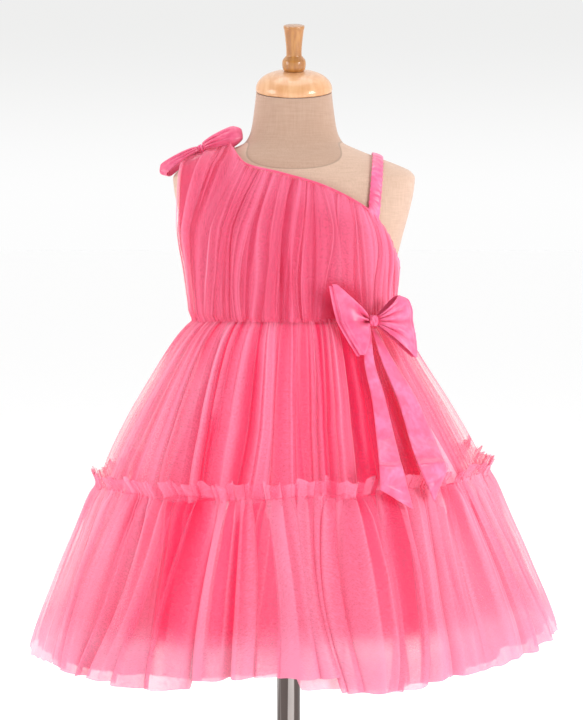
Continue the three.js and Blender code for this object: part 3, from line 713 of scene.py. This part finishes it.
def stitched(name, path, sizes):
    """A row of running stitches along a path of points in millimetres, made by Geometry Nodes."""
    line = bpy.data.meshes.new(name)
    count = len(path)
    line.from_pydata((np.asarray(path) / 1000).tolist(), [(i, i + 1) for i in range(count - 1)], [])
    row = bpy.data.objects.new(name, line)
    bpy.context.scene.collection.objects.link(row)
    tree = bpy.data.node_groups.new(name, "GeometryNodeTree")
    tree.interface.new_socket("Path", in_out="INPUT", socket_type="NodeSocketGeometry")
    for title in sizes:
        kind = "NodeSocketInt" if title == "Seed" else "NodeSocketFloat"
        tree.interface.new_socket(title, in_out="INPUT", socket_type=kind)
    tree.interface.new_socket("Stitches", in_out="OUTPUT", socket_type="NodeSocketGeometry")
    add, link = tree.nodes.new, tree.links.new
    inlet, outlet = add("NodeGroupInput"), add("NodeGroupOutput")
    curve, marks = add("GeometryNodeMeshToCurve"), add("GeometryNodeCurveToPoints")
    marks.mode = "LENGTH"
    stitch, size = add("GeometryNodeMeshUVSphere"), add("ShaderNodeCombineXYZ")
    stitch.inputs["Segments"].default_value = 6
    stitch.inputs["Rings"].default_value = 4
    stitch.inputs["Radius"].default_value = 1.0
    place_all, real = add("GeometryNodeInstanceOnPoints"), add("GeometryNodeRealizeInstances")
    uneven, finish = add("FunctionNodeRandomValue"), add("GeometryNodeSetMaterial")
    uneven.data_type = "FLOAT"
    uneven.inputs[2].default_value = 0.75
    uneven.inputs[3].default_value = 1.1
    finish.inputs["Material"].default_value = thread_finish
    longer = add("ShaderNodeMath")
    longer.operation = "MULTIPLY"
    link(inlet.outputs["Path"], curve.inputs["Mesh"])
    link(curve.outputs["Curve"], marks.inputs["Curve"])
    link(inlet.outputs["Spacing"], marks.inputs["Length"])
    link(marks.outputs["Points"], place_all.inputs["Points"])
    link(marks.outputs["Rotation"], place_all.inputs["Rotation"])
    link(stitch.outputs["Mesh"], place_all.inputs["Instance"])
    link(inlet.outputs["Seed"], uneven.inputs["Seed"])
    link(inlet.outputs["Half Stitch"], longer.inputs[0])
    link(uneven.outputs[1], longer.inputs[1])
    link(inlet.outputs["Thread Radius"], size.inputs["X"])
    link(inlet.outputs["Thread Radius"], size.inputs["Y"])
    link(longer.outputs[0], size.inputs["Z"])
    link(size.outputs["Vector"], place_all.inputs["Scale"])
    link(place_all.outputs["Instances"], real.inputs["Geometry"])
    link(real.outputs["Geometry"], finish.inputs["Geometry"])
    link(finish.outputs["Geometry"], outlet.inputs["Stitches"])
    rule = row.modifiers.new("running stitches", "NODES")
    rule.node_group = tree
    for socket in tree.interface.items_tree:
        if socket.name in sizes:
            rule[socket.identifier] = sizes[socket.name]
    seen = bpy.context.evaluated_depsgraph_get()
    made = bpy.data.meshes.new_from_object(row.evaluated_get(seen), depsgraph=seen)
    row.modifiers.clear()
    row.data = made
    made.shade_smooth()
    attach(row, "root")
    return row


seam_row = int(np.argmin(np.abs(lower_levels - 402.5)))
seam_path = lower_out[seam_row, ::6] * [1.003, 1.003, 1]
seam_path = np.concatenate([seam_path, seam_path[:1]])
stitch_sizes = {"Spacing": 0.0037, "Half Stitch": 0.0014, "Thread Radius": 0.00035, "Seed": 4}
stitched("lower_tier_gathering_stitches", seam_path, stitch_sizes)

# The bodice: two layers of tulle over a close satin lining, gathered into the left shoulder, the
# slanting neck edge and the waist, so that its folds run from edge to edge and blouse a little.
# Front and back are joined at the left shoulder and at both sides; the armholes stay open.
EDGES = {
    "share": [0, 0.13, 0.19, 0.26, 0.4, 0.57, 0.7, 0.79, 0.84, 0.89, 0.94, 0.975, 1],
    "x": [-101, -58, -47, -36, -10, 20, 47, 66, 75, 83, 90, 94, 94],
    "front": [689.5, 706, 692, 688, 682, 674, 662, 650.5, 642, 630, 612, 596, 586],
    "back": [689.5, 706, 697, 692, 685, 676, 664, 652, 643, 630, 612, 596, 586],
    "crown": [1, 1, 0.3, 0, 0, 0, 0, 0, 0, 0, 0, 0, 0],
}
ARMHOLE_X = 103.0
CLEARANCE = 1.6
SHOULDER_LIFT = 1.7


def ridge_height(x):
    """The height of the shoulder's ridge at a distance from the middle."""
    z = np.linspace(683, 714, 400)
    return np.interp(-np.abs(x), -column(FORM_SECTIONS, "half", z), z)


def angle_at(x, z, side):
    """The angle round the form at which its section has that x, on the front (1) or back (-1)."""
    share = np.clip(np.abs(x) / column(FORM_SECTIONS, "half", z), 0, 1) ** (RING_POWER / 2)
    return side * np.where(x > 0, np.arccos(share), np.pi - np.arccos(share))


def bodice_point(side, share, height, lift):
    """A point over the bodice at a share of its width, from the left, and of its height."""
    share, height = np.broadcast_arrays(np.clip(share, 0, 1), height)
    crown = column(EDGES, "crown", share, "share")
    top_x = column(EDGES, "x", share, "share")
    top_z = column(EDGES, "front" if side > 0 else "back", share, "share")
    top_z = np.where(crown > 0.99, ridge_height(top_x), top_z)
    eased = height + (1 - (1 - np.minimum(height, 1)) ** 2.3 - np.minimum(height, 1)) * crown
    z = WAIST_Z + 0.3 + (top_z - WAIST_Z - 0.3) * eased
    half = column(FORM_SECTIONS, "half", z)
    spread = -np.cos(np.pi * share) * np.minimum(half, ARMHOLE_X)
    x = spread + (top_x - spread) * eased**2
    on_seam = ((share <= 0) & (z < 632)) | (share >= 1)
    x = np.where(on_seam, np.sign(x) * half, x)
    point = form_point(angle_at(x, z, side), z, lift + CLEARANCE + SHOULDER_LIFT * crown)
    y = point[..., 1]
    point[..., 1] = np.where(side > 0, np.minimum(y, -0.15), np.maximum(y, 0.15))
    return point


bodice_net = net("bodice tulle", dye(255, 122, 160), dye(246, 72, 118), dye(255, 158, 188), 0.1)
bodice_satin, wire, shader = new_finish("bodice lining", Roughness=0.6)
uv = wire.put("UVMap", uv_map="cloth")
soft = wire.put("TexNoise", {"Vector": uv, "Scale": 14.0, "Detail": 2.0})
# The bodice lining is dyed darker than the skirt's lining; its deep tone is partly painted shade over
# the bodice.
soft.between(0.3, 0.7).mix(dye(204, 16, 66), dye(214, 26, 76)).into(shader, "Base Color")


def bodice_gathers(side, seed, count, columns, off, low, high, relief, drift):
    """One layer of gathered net over the bodice: its points and its maps.

    off is how far it lies off the lining, low and high its thinnest and thickest cover, relief
    the depth of its folds and drift how far they wander sideways on the way up.
    """
    rng = np.random.default_rng(seed)
    share = np.linspace(0, 1, columns)
    phase, width, number, within, read = folds(rng, count, share, 0.9)
    stand = read(rng.uniform(0.3, 1.5, count))
    over = read(rng.uniform(0.2, 1.4, count))
    start, stop = read(rng.uniform(-0.5, 0.3, count)), read(rng.uniform(0.6, 1.5, count))
    lean = ring_noise(rng, share, [2, 3, 5, 9], 1.0)
    wander = ring_noise(rng, share, [4, 7, 11], 1.0)
    pinch_phase, _, pinch_number, pinch_within, _ = folds(rng, count * 2, share, 0.7)
    inside = ease(share, 0, 0.03) * ease(-share, -1, -0.97)
    height = np.concatenate(
        [np.linspace(-0.012, 0.16, 18), np.linspace(0.175, 0.9, 40), np.linspace(0.91, 1, 10)]
    )[:, None]
    middle = np.sin(np.pi * np.clip(height, 0, 1)) ** 0.6
    crown = column(EDGES, "crown", share, "share")
    life = ease(height, start - 0.25, start + 0.25) * ease(-height, -stop - 0.25, 0.25 - stop)
    deep = (0.4 + relief * middle * stand * life) * (0.5 + 0.5 * np.cos(phase))
    ends = np.exp(-np.clip(height, 0, 1) / 0.07) + np.exp(-(1 - height) / 0.06)
    blouse = 3.0 * ease(height, -0.012, 0.025) * ease(-height, -0.4, -0.04)
    lift = off + deep + 0.6 * ends * np.cos(pinch_phase) * inside + blouse + 0.6 * middle
    lift = lift + 2.4 * crown * ease(height, 0.85, 0.99) * (0.7 + 0.3 * np.cos(phase)) * inside
    lapped = over * (0.35 + 0.8 * middle * life) * width / (2 * np.pi)
    turn = share + inside * lapped * np.sin(phase)
    sway = lean * np.sin(np.pi * np.clip(height, 0, 1) ** 1.3)
    sway = sway + 0.6 * wander * np.sin(2 * np.pi * height)
    turn = turn + inside * drift * sway
    shade, line = fold_shade(rng, count, number, within, height, low, high, 0.07)
    small, small_line = fold_shade(
        rng, count * 2, pinch_number, pinch_within, height, -0.14, 0.14, 0.14
    )
    shade = shade + small * (0.6 + 0.4 * ends) + (high - shade) * (1 - inside)
    line = np.maximum(line, small_line * (0.4 + 0.5 * ends)) * (0.35 + 0.65 * middle)
    if side > 0:
        # Painted light: the net is laid thicker, so paler, over the right side, where the key lamp
        # falls; it is also thicker near the neck edge.
        shade = shade + 0.3 * ease(share, 0.66, 0.85) + 0.1 * ease(height, 0.72, 0.95)
        # Painted shadow: left of the waist bow the net is thinned to show the dark lining, as the bow's
        # cast shadow.
        painted_bow_shadow = np.exp(-(((share - 0.655) / 0.07) ** 2)) * ease(-height, -0.36, -0.16)
        shade = shade * (1 - painted_bow_shadow)
        line = line * (1 - 0.8 * painted_bow_shadow)
    maps = {"cloth": (share * 0.5, height * 0.14), "folds": (shade, line)}
    return bodice_point(side, turn, height, lift), maps


for side, seed, count, columns in ((1, 31, 32, 620), (-1, 32, 24, 420)):
    end = "front" if side > 0 else "back"
    lining_rows = np.linspace(-0.03, 0.995, 44)[:, None]
    inner = bodice_point(side, np.linspace(0, 1, 150)[None, :], lining_rows, 0.2)
    flat = {"cloth": (np.linspace(0, 0.3, 150)[None, :], lining_rows * 0.15)}
    under = grid_piece(
        "bodice_lining_" + end, inner, bodice_satin, flip=side < 0, maps=flat
    )

    close, maps = bodice_gathers(side, seed, count, columns, 0.8, 0.12, 0.5, 1.1, 0.014)
    gathers = grid_piece(
        "bodice_tulle_" + end, close, bodice_net, flip=side < 0, maps=maps
    )
    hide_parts("bodice_" + end)
    loose, maps = bodice_gathers(
        side, seed + 10, count - 6, columns, 3.0, 0.14, 0.46, 1.0, 0.018
    )
    veil = grid_piece(
        "bodice_tulle_outer_" + end, loose, bodice_net, flip=side < 0, maps=maps
    )

# The neck binding: a narrow folded strip of satin along the slanting edge, over the left shoulder
# and along the back to the strap. The armholes have only a fine rolled edge of the same tulle.
SATIN_PINK, SATIN_SHEEN_VIOLET, SATIN_DEEP = dye(244, 100, 144), dye(250, 122, 170), dye(236, 72, 118)


def satin(name, base, painted_sheen, deep, roughness=0.36, creased=False):
    """Ribbon satin: long floats that shine, soft patches of painted sheen, and a map of painted shade
    where it is drawn in.
    """
    material, wire, shader = new_finish(
        name, Roughness=roughness, Specular_IOR_Level=0.55, Sheen_Weight=0.15
    )
    place = wire.put("TexCoord", output=3)
    patch = wire.put("TexNoise", {"Vector": place, "Scale": 55.0, "Detail": 2.0, "Distortion": 0.7})
    fleck = wire.put("TexNoise", {"Vector": place, "Scale": 210.0, "Detail": 2.0})
    floats = stretched_noise(wire, place, (300.0, 300.0, 3000.0))
    # Painted sheen: soft random patches turn the satin a lighter violet, as its shine.
    tone = patch.between(0.4, 0.68).mix(base, painted_sheen)
    tone = (fleck.between(0.35, 0.6) * -0.35 + 0.35).mix(tone, deep)
    if creased:
        crease = wire.put("SeparateXYZ", {"Vector": wire.put("UVMap", uv_map="creases")})
        # Painted shade: by the knot and along the creases the satin is darkened towards deep pink.
        tone = (crease * 0.72).mix(tone, dye(208, 48, 96))
    tone.into(shader, "Base Color")
    (patch * 0.16 + (roughness - 0.08)).into(shader, "Roughness")
    wire.put("Bump", {"Height": floats, "Strength": 0.06, "Distance": 0.0002}).into(shader, "Normal")
    return material


def swept(path, half_width, half_thick, normals, around=12, closed_ends=True):
    """Points and faces of a soft strip along a path: its section is a flattened ring."""
    path, normals = np.asarray(path, float), np.asarray(normals, float)
    ahead = np.gradient(path, axis=0)
    ahead /= np.linalg.norm(ahead, axis=1, keepdims=True)
    across = np.cross(ahead, normals)
    across /= np.linalg.norm(across, axis=1, keepdims=True)
    t = np.linspace(0, 2 * np.pi, around, endpoint=False)
    half_width = np.broadcast_to(half_width, len(path))
    half_thick = np.broadcast_to(half_thick, len(path))
    rings = (
        path[:, None]
        + across[:, None] * (half_width[:, None] * np.cos(t))[..., None]
        + normals[:, None] * (half_thick[:, None] * np.sin(t))[..., None]
    )
    points = np.concatenate([rings.reshape(-1, 3), path[:1], path[-1:]])
    faces = grid_faces(len(path), around, closed=True)
    first, last, end = len(points) - 2, len(points) - 1, (len(path) - 1) * around
    for i in range(around):
        faces.append((first, (i + 1) % around, i))
        faces.append((last, end + i, end + (i + 1) % around))
    return points, faces


ribbon = satin("pink ribbon satin", SATIN_PINK, SATIN_SHEEN_VIOLET, SATIN_DEEP)
loop_satin = satin(
    "waist bow satin", dye(246, 104, 150), dye(252, 126, 170), dye(240, 80, 126), creased=True
)
small_satin = satin(
    "shoulder bow satin", dye(232, 90, 130), dye(242, 110, 148), dye(212, 58, 104), creased=True
)
binding_satin = satin(
    "pink binding satin", dye(236, 82, 122), dye(246, 108, 150), dye(222, 58, 102), 0.45
)


def smoothed(rows, span):
    """Rows of values, each evened out with its neighbours over a span of rows."""
    kernel = np.ones(span) / span

    def even(row):
        return np.convolve(np.pad(row, span // 2, mode="edge"), kernel, "valid")

    return np.apply_along_axis(even, 0, rows)


def edge_strip(name, side_shares, low, thick, wide, material, lift=2.2):
    """A strip along the bodice's upper edge through places given as side and share."""
    path, outer = [
        smoothed(np.array([bodice_point(side, s, np.array(low), up) for side, s in side_shares]), 9)
        for up in (np.array(lift), np.array(lift + 2))
    ]
    normals = (outer - path) / np.linalg.norm(outer - path, axis=1, keepdims=True)
    points, faces = swept(path, wide, thick, normals)
    return piece_of(name, points, faces, material)


neck_path = [(1, s) for s in np.linspace(0.8, 0.13, 90)]
neck_path += [(-1, s) for s in np.linspace(0.13, 0.8, 90)]
neck = edge_strip("neck_edge_binding", neck_path, 1.0, 1.3, 1.2, binding_satin, 3.0)
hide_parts("neck_binding_front", "neck_binding_back")

# The shoulder seam's tape: a short flat width of the same satin that covers the gathers where front
# and back meet on the left shoulder, sewn over the seam.
tape_path = [(1, s) for s in np.linspace(0.0, 0.13, 30)]
edge_strip("shoulder_seam_tape", tape_path, 0.997, 1.6, 4.0, binding_satin, 4.2)

# The shoulder strap: a satin tube on flat elastic, so it puckers into small uneven ruches. It runs
# from the corner of the front neck edge over the right shoulder to the same corner at the back.
STRAP_HALF, STRAP_RUCHES = 4.9, 29
along = np.linspace(0, 1, 240)
over = np.sin(np.pi * along)
middle_x = 70.5 + 6 * over**0.8
ridge = ridge_height(middle_x)
half_way = 1 - np.abs(1 - 2 * along)
rows = []
for t in np.linspace(0, 2 * np.pi, 20, endpoint=False):
    ruches = 2 * np.pi * STRAP_RUCHES * along
    x = middle_x + STRAP_HALF * math.cos(t) * (1 + 0.05 * np.sin(ruches))
    x_ridge = ridge_height(x)
    low_front, low_back = [np.interp(x, EDGES["x"], EDGES[end]) for end in ("front", "back")]
    low = np.where(along < 0.5, low_front, low_back)
    z = low - 1 + (x_ridge - low + 1) * (1 - (1 - half_way) ** 2)
    uneven = 2.4 * math.cos(t) * np.sin(43 * along) + 5 * np.sin(9 * along)
    pucker = 0.28 * np.sin(ruches + uneven)
    lift = 2.2 + (1.0 + (pucker if math.sin(t) > 0 else 0)) * math.sin(t)
    front = form_point(angle_at(x, np.minimum(z, x_ridge), 1), np.minimum(z, x_ridge), lift)
    back = form_point(angle_at(x, np.minimum(z, x_ridge), -1), np.minimum(z, x_ridge), lift)
    rows.append(np.where((along < 0.5)[:, None], front, back))
ring_points = np.stack(rows, 1)
ends = ring_points[[0, -1]].mean(axis=1)
points = np.concatenate([ring_points.reshape(-1, 3), ends])
faces = grid_faces(240, 20, closed=True, flip=True)
first, last, end = len(points) - 2, len(points) - 1, 239 * 20
for i in range(20):
    faces.append((first, i, (i + 1) % 20))
    faces.append((last, end + (i + 1) % 20, end + i))
strap = piece_of("ruched_shoulder_strap", points, faces, ribbon, smooth=0)
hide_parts("shoulder_strap")

# The waist bow: a wide band of ribbon satin folded into two loops and pinched by a short knot, with
# two long tails cut aslant. It is sewn on at the waist seam, in front of the right side, and its
# loops stand off the dress, creased where the knot draws them in.
KNOT = np.array([68.8, -76.0, 552.5])
BOW_YAW = math.radians(24)
bow_right = np.array([math.cos(BOW_YAW), math.sin(BOW_YAW), 0])
bow_front = np.array([math.sin(BOW_YAW), -math.cos(BOW_YAW), 0])
bow_up = np.array([0, 0, 1.0])


def satin_loop(
    name, centre, axes, ends, opening, creases, pinch=4.0, belly=9.0, forward=0.0, finish=loop_satin
):
    """A loop of ribbon: a front that bulges, a rolled end and a back, open above and below.

    ends lists the end edge's corners from top to bottom as out and up; each crease has its place
    across the loop, its depth, its width, and how far out it reaches. Below the knot the loop
    comes forward by that share of its drop, where it lies on the swelling skirt.
    """
    right, front, up = axes
    ends = np.array(ends, float)
    across = np.linspace(0, 1, 49)
    keys = {"at": np.linspace(0, 1, len(ends)), "out": ends[:, 0], "up": ends[:, 1]}
    edge = np.stack([column(keys, "out", across, "at"), column(keys, "up", across, "at")], -1)
    steps = np.linspace(0, 1, 40)
    turns = np.linspace(-np.pi / 2, np.pi / 2, 9)[1:-1]
    stops = [(s, 1.0) for s in steps] + [(1.0, math.sin(-t)) for t in turns]
    stops += [(s, -1.0) for s in steps[::-1]]
    rolls = [0.0] * 40 + [math.cos(t) for t in turns] + [0.0] * 40
    rows, painted_shade_rows = [], []
    for (s, face), roll in zip(stops, rolls):
        inner = np.stack([0 * across, pinch * (1 - 2 * across)], -1)
        flat = inner + (edge - inner) * (s if s < 1 else 1)
        bow_out = belly * math.sin(math.pi * min(s, 1) ** 0.8) ** 0.7
        bow_out = bow_out * (1 - 0.35 * (2 * across - 1) ** 2)
        gap = opening * (0.12 + 0.88 * s**0.6)
        off = gap / 2 * face + (bow_out if face > -0.2 else -0.15 * bow_out)
        # This dark map is painted shade: darker near the knot and along each crease.
        dark = 0 * across + 0.5 * math.exp(-s / 0.09)
        if face > 0:
            for at, deep, wide, reach in creases:
                fade = math.exp(-((s / reach) ** 2)) * min(s * 8, 1)
                from_middle = (across - at) / (wide * (0.35 + s))
                off = off - deep * fade * np.exp(-(from_middle**2))
                dark = dark + min(deep / 5, 1.2) * fade * np.exp(-((from_middle / 0.5) ** 2))
        painted_shade_rows.append(np.clip(dark, 0, 1))
        outward = flat[:, 0] + np.sign(ends[0, 0]) * roll * opening * 0.45
        lift = flat[:, 1]
        off = off + forward * np.maximum(-lift, 0) + 0.5 * opening
        rows.append(centre + np.stack([outward, off, lift], -1) @ np.array([right, front, up]))
    points = np.stack(rows)
    flip = ends[0, 0] < 0
    maps = {"creases": (np.stack(painted_shade_rows), 0 * np.stack(painted_shade_rows))}
    loop = grid_piece(name, points, finish, flip=flip, maps=maps)
    skin = loop.modifiers.new("cloth thickness", "SOLIDIFY")
    skin.thickness = 0.0006
    skin.offset = 0.0
    return loop


axes = (bow_right, bow_front, bow_up)
left_loop = satin_loop(
    "waist_bow_loop_left", KNOT - bow_right * 4, axes,
    ends=[(-32, 33), (-28, 16), (-21.5, -7), (-13, -29.5)], opening=6.0,
    creases=[(0.29, 8.5, 0.24, 0.8), (0.6, 9.5, 0.24, 0.65), (0.92, 3.0, 0.15, 0.7)], forward=0.6,
)
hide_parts("waist_bow_left_loop")
under_ply = satin_loop(
    "waist_bow_under_ply", KNOT - bow_right * 4 - bow_front * 3.5, axes,
    ends=[(-34.5, 31.5), (-31, 14), (-24.5, -8.5), (-15.5, -31)], opening=3.0, creases=[],
    belly=1.0, forward=0.6,
)
right_loop = satin_loop(
    "waist_bow_loop_right", KNOT + bow_right * 4, axes,
    ends=[(20, 22), (29, 18), (33.5, 4), (33, -18), (30, -33)], opening=7.0, forward=0.45,
    creases=[
        (0.12, 3.2, 0.06, 0.6), (0.34, 5.0, 0.07, 0.7), (0.56, 5.0, 0.06, 1.0), (0.78, 4.0, 0.05, 0.9),
    ],
)
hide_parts("waist_bow_right_loop")

t = np.linspace(0, 2 * np.pi, 64, endpoint=False)
v = np.linspace(-1, 1, 40)[:, None]
girth = 0.86 - 0.2 * np.abs(v) ** 3 + 0.14 * np.cos(2.6 * v)
wraps = 0.7 * np.cos(5 * t + 2.4 * v) + 0.4 * np.cos(9 * t - 3 * v)
knot_points = np.stack(
    [(4.6 + wraps) * np.cos(t) * girth, (5.2 + wraps) * np.sin(t) * girth, 6.6 * v + 0 * t], -1
)


def knot_piece(name, centre, axes, size):
    """A short wrapped knot, its own right, front and up given by axes and stretched by size."""
    placed = centre + (knot_points * size) @ np.array(axes)
    count = 40 * 64
    ends = placed[[0, -1]].mean(axis=1)
    points = np.concatenate([placed.reshape(-1, 3), ends])
    faces = grid_faces(40, 64, closed=True, flip=True)
    for i in range(64):
        faces.append((count, i, (i + 1) % 64))
        faces.append((count + 1, 39 * 64 + (i + 1) % 64, 39 * 64 + i))
    return piece_of(name, points, faces, ribbon, smooth=0)


waist_knot = knot_piece("waist_bow_centre_knot", KNOT + bow_front * 6, axes, [0.95, 0.95, 0.72])
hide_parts("waist_bow_knot")

TAILS = {
    "left": {
        "width": 0.02,
        "down": [0, 0.17, 0.45, 0.75, 1],
        "left": [64.5, 62.5, 69.5, 73.5, 74.5],
        "left_z": [545.2, 521, 482, 436, 410],
        "right": [69, 71, 81, 92, 104],
        "right_z": [545.2, 521, 484, 438, 392],
    },
    "right": {
        "width": 0.026,
        "down": [0, 0.17, 0.45, 0.75, 1],
        "left": [69.8, 77, 93, 106, 123],
        "left_z": [545.2, 521, 482, 437, 397],
        "right": [74.3, 87, 109, 126, 135],
        "right_z": [545.2, 521, 485, 447, 424],
    },
}


def dress_reach(x, z):
    """How far the dress reaches to the front near its right side."""

    def tier(table, level, extra):
        side, front = column(table, "side", level) + extra, column(table, "front", level) + extra
        shape = 2 + (RING_POWER - 2) * np.clip((level - 460) / (WAIST_Z - 460), 0, 1)
        return front * np.maximum(1 - np.abs(x / side) ** shape, 0) ** (1 / shape)

    level = z - rise(0.6, z)
    reach = tier(UPPER_TIER, np.clip(level, 401, 551.7), 7.0 * ease(-level, -550, -520))
    lower = tier(LOWER_TIER, np.clip(level, 250, 418), 7.0)
    return np.maximum(reach, np.where(level < 428, lower, 0))


for side, table in TAILS.items():
    down = np.linspace(0, 1, 120)[:, None]
    share = np.linspace(0, 1, 13)[None, :]
    x, z = [
        column(table, "left" + end, down, "down") * (1 - share)
        + column(table, "right" + end, down, "down") * share
        for end in ("", "_z")
    ]
    reach = dress_reach(x, z)
    curl = 1.6 * np.sin(2 * np.pi * (1.3 * down + 0.3 * share))
    curl = curl + 2.2 * np.sin(4.1 * down + 2) * (share - 0.5)
    lift = 2.5 + curl * ease(down, 0.05, 0.3) + np.sin(np.pi * share) + 2.0 * ease(-down, -0.2, 0)
    points = np.stack([x, -(np.maximum(smoothed(reach, 31), reach) + lift), z], -1)
    tail = grid_piece("waist_bow_ribbon_" + side, points, ribbon, flip=True)
    skin = tail.modifiers.new("cloth thickness", "SOLIDIFY")
    skin.thickness = 0.0006
    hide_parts("waist_bow_tail_" + side)

# The shoulder bow: a smaller band of the same satin on the gathered shoulder. One loop lies down
# over the shoulder's end and the other stands up towards the neck.
SMALL_KNOT = np.array([-85.2, -8.5, 706.3])


def loop_axes(tilt, turn, nod):
    """A loop's own right, front and up: tilted in the photograph's plane, turned and nodded up."""
    flat = math.cos(turn)
    right = np.array([math.cos(tilt) * flat, math.sin(turn), math.sin(tilt) * flat])
    front = np.array([0.0, -math.cos(nod), math.sin(nod)])
    front -= right * (front @ right)
    front /= np.linalg.norm(front)
    return right, front, np.cross(front, right)


small_left = satin_loop(
    "shoulder_bow_loop_left", SMALL_KNOT + [-2, 0, -1], loop_axes(0.54, 0.0, 0.75),
    ends=[(-35, 5.0), (-38, -1), (-33.5, -7.5)], opening=7.0,
    creases=[(0.35, 2.6, 0.12, 0.6), (0.7, 2.6, 0.12, 0.5)], pinch=3.0, belly=3.5,
    finish=small_satin,
)
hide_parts("shoulder_bow_left_loop")
small_right = satin_loop(
    "shoulder_bow_loop_right", SMALL_KNOT + [2, 0, 1], loop_axes(0.33, 0.05, 0.45),
    ends=[(30, 8.5), (34.5, 4), (33, -4), (22, -9)], opening=9.0,
    creases=[(0.3, 3.2, 0.1, 0.6), (0.62, 3.2, 0.1, 0.7), (0.9, 2.5, 0.12, 0.9)], pinch=3.5,
    belly=5.0, finish=small_satin,
)
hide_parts("shoulder_bow_right_loop")
small_axes = [[0.87, 0, 0.5], [0.1, -0.98, 0.1], [-0.45, 0, 0.89]]
small_knot = knot_piece("shoulder_bow_centre_knot", SMALL_KNOT, small_axes, [0.75, 0.85, 0.8])
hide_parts("shoulder_bow_knot")

# The stage: a wide pale floor, a bright even studio and one large soft light from the right, with
# the camera at the photograph's height and distance, looking a little down.
floor_mesh = bpy.data.meshes.new("studio_floor")
floor_mesh.from_pydata([(-30, -30, 0), (30, -30, 0), (30, 30, 0), (-30, 30, 0)], [], [(0, 1, 2, 3)])
floor = bpy.data.objects.new("studio_floor", floor_mesh)
bpy.context.scene.collection.objects.link(floor)
floor_finish, wire, shader = new_finish("pale floor", Roughness=0.9)
shader.inputs["Base Color"].default_value = (0.95, 0.95, 0.95, 1)
shader.inputs["Emission Color"].default_value = (1.0, 1.0, 1.0, 1)
shader.inputs["Emission Strength"].default_value = 0.26
floor_mesh.materials.append(floor_finish)

world = bpy.data.worlds.new("pale studio")
bpy.context.scene.world = world
world.use_nodes = True
sky = Wire(world.node_tree)
toward = sky.put("TexCoord", output=0)
raised = sky.put("SeparateXYZ", {"Vector": toward}, output=2)
ahead = sky.put("SeparateXYZ", {"Vector": toward}, output=1)
low_sky = raised.between(0.0, 0.075).mix((0.985, 0.985, 0.985, 1), (0.86, 0.86, 0.855, 1))
backdrop = raised.between(0.2, 0.75).mix(low_sky, (1.05, 1.05, 1.05, 1))
dimmer = (0.0 - ahead).between(-0.1, 0.7) * raised.between(0.02, 0.16) * 0.84
dimmer.mix(backdrop, (0.0, 0.0, 0.0, 1)).into(world.node_tree.nodes["Background"], "Color")


def soft_light(name, place, target, size, watts):
    lamp = bpy.data.lights.new(name, "AREA")
    lamp.shape = "DISK"
    lamp.size = size
    lamp.energy = watts
    light = bpy.data.objects.new(name, lamp)
    bpy.context.scene.collection.objects.link(light)
    light.location = place
    aim = np.array(target) - np.array(place)
    flat = math.hypot(aim[0], aim[1])
    light.rotation_euler = (math.atan2(flat, -aim[2]), 0, math.atan2(-aim[0], aim[1]))
    return light


soft_light("key from the right", (1.9, -1.4, 1.05), (0, 0, 0.5), 0.9, 28.5)
soft_light("fill from the left", (-2.1, -0.8, 1.1), (0, 0, 0.5), 1.2, 20.5)
soft_light("top softbox", (0.0, 0.2, 3.0), (0, 0.05, 0), 2.4, 25.0)

camera_data = bpy.data.cameras.new("camera")
camera = bpy.data.objects.new("camera", camera_data)
bpy.context.scene.collection.objects.link(camera)
camera_data.lens = 123.76
camera_data.sensor_width = 36
camera.location = (-0.0023, -2.3, 0.6606)
camera.rotation_euler = (math.radians(90 - 3.7), 0, 0)
bpy.context.scene.camera = camera
bpy.context.scene.view_settings.view_transform = "Standard"
bpy.context.scene.cycles.transparent_max_bounces = 40
bpy.context.scene.cycles.max_bounces = 16
bpy.context.scene.cycles.diffuse_bounces = 6
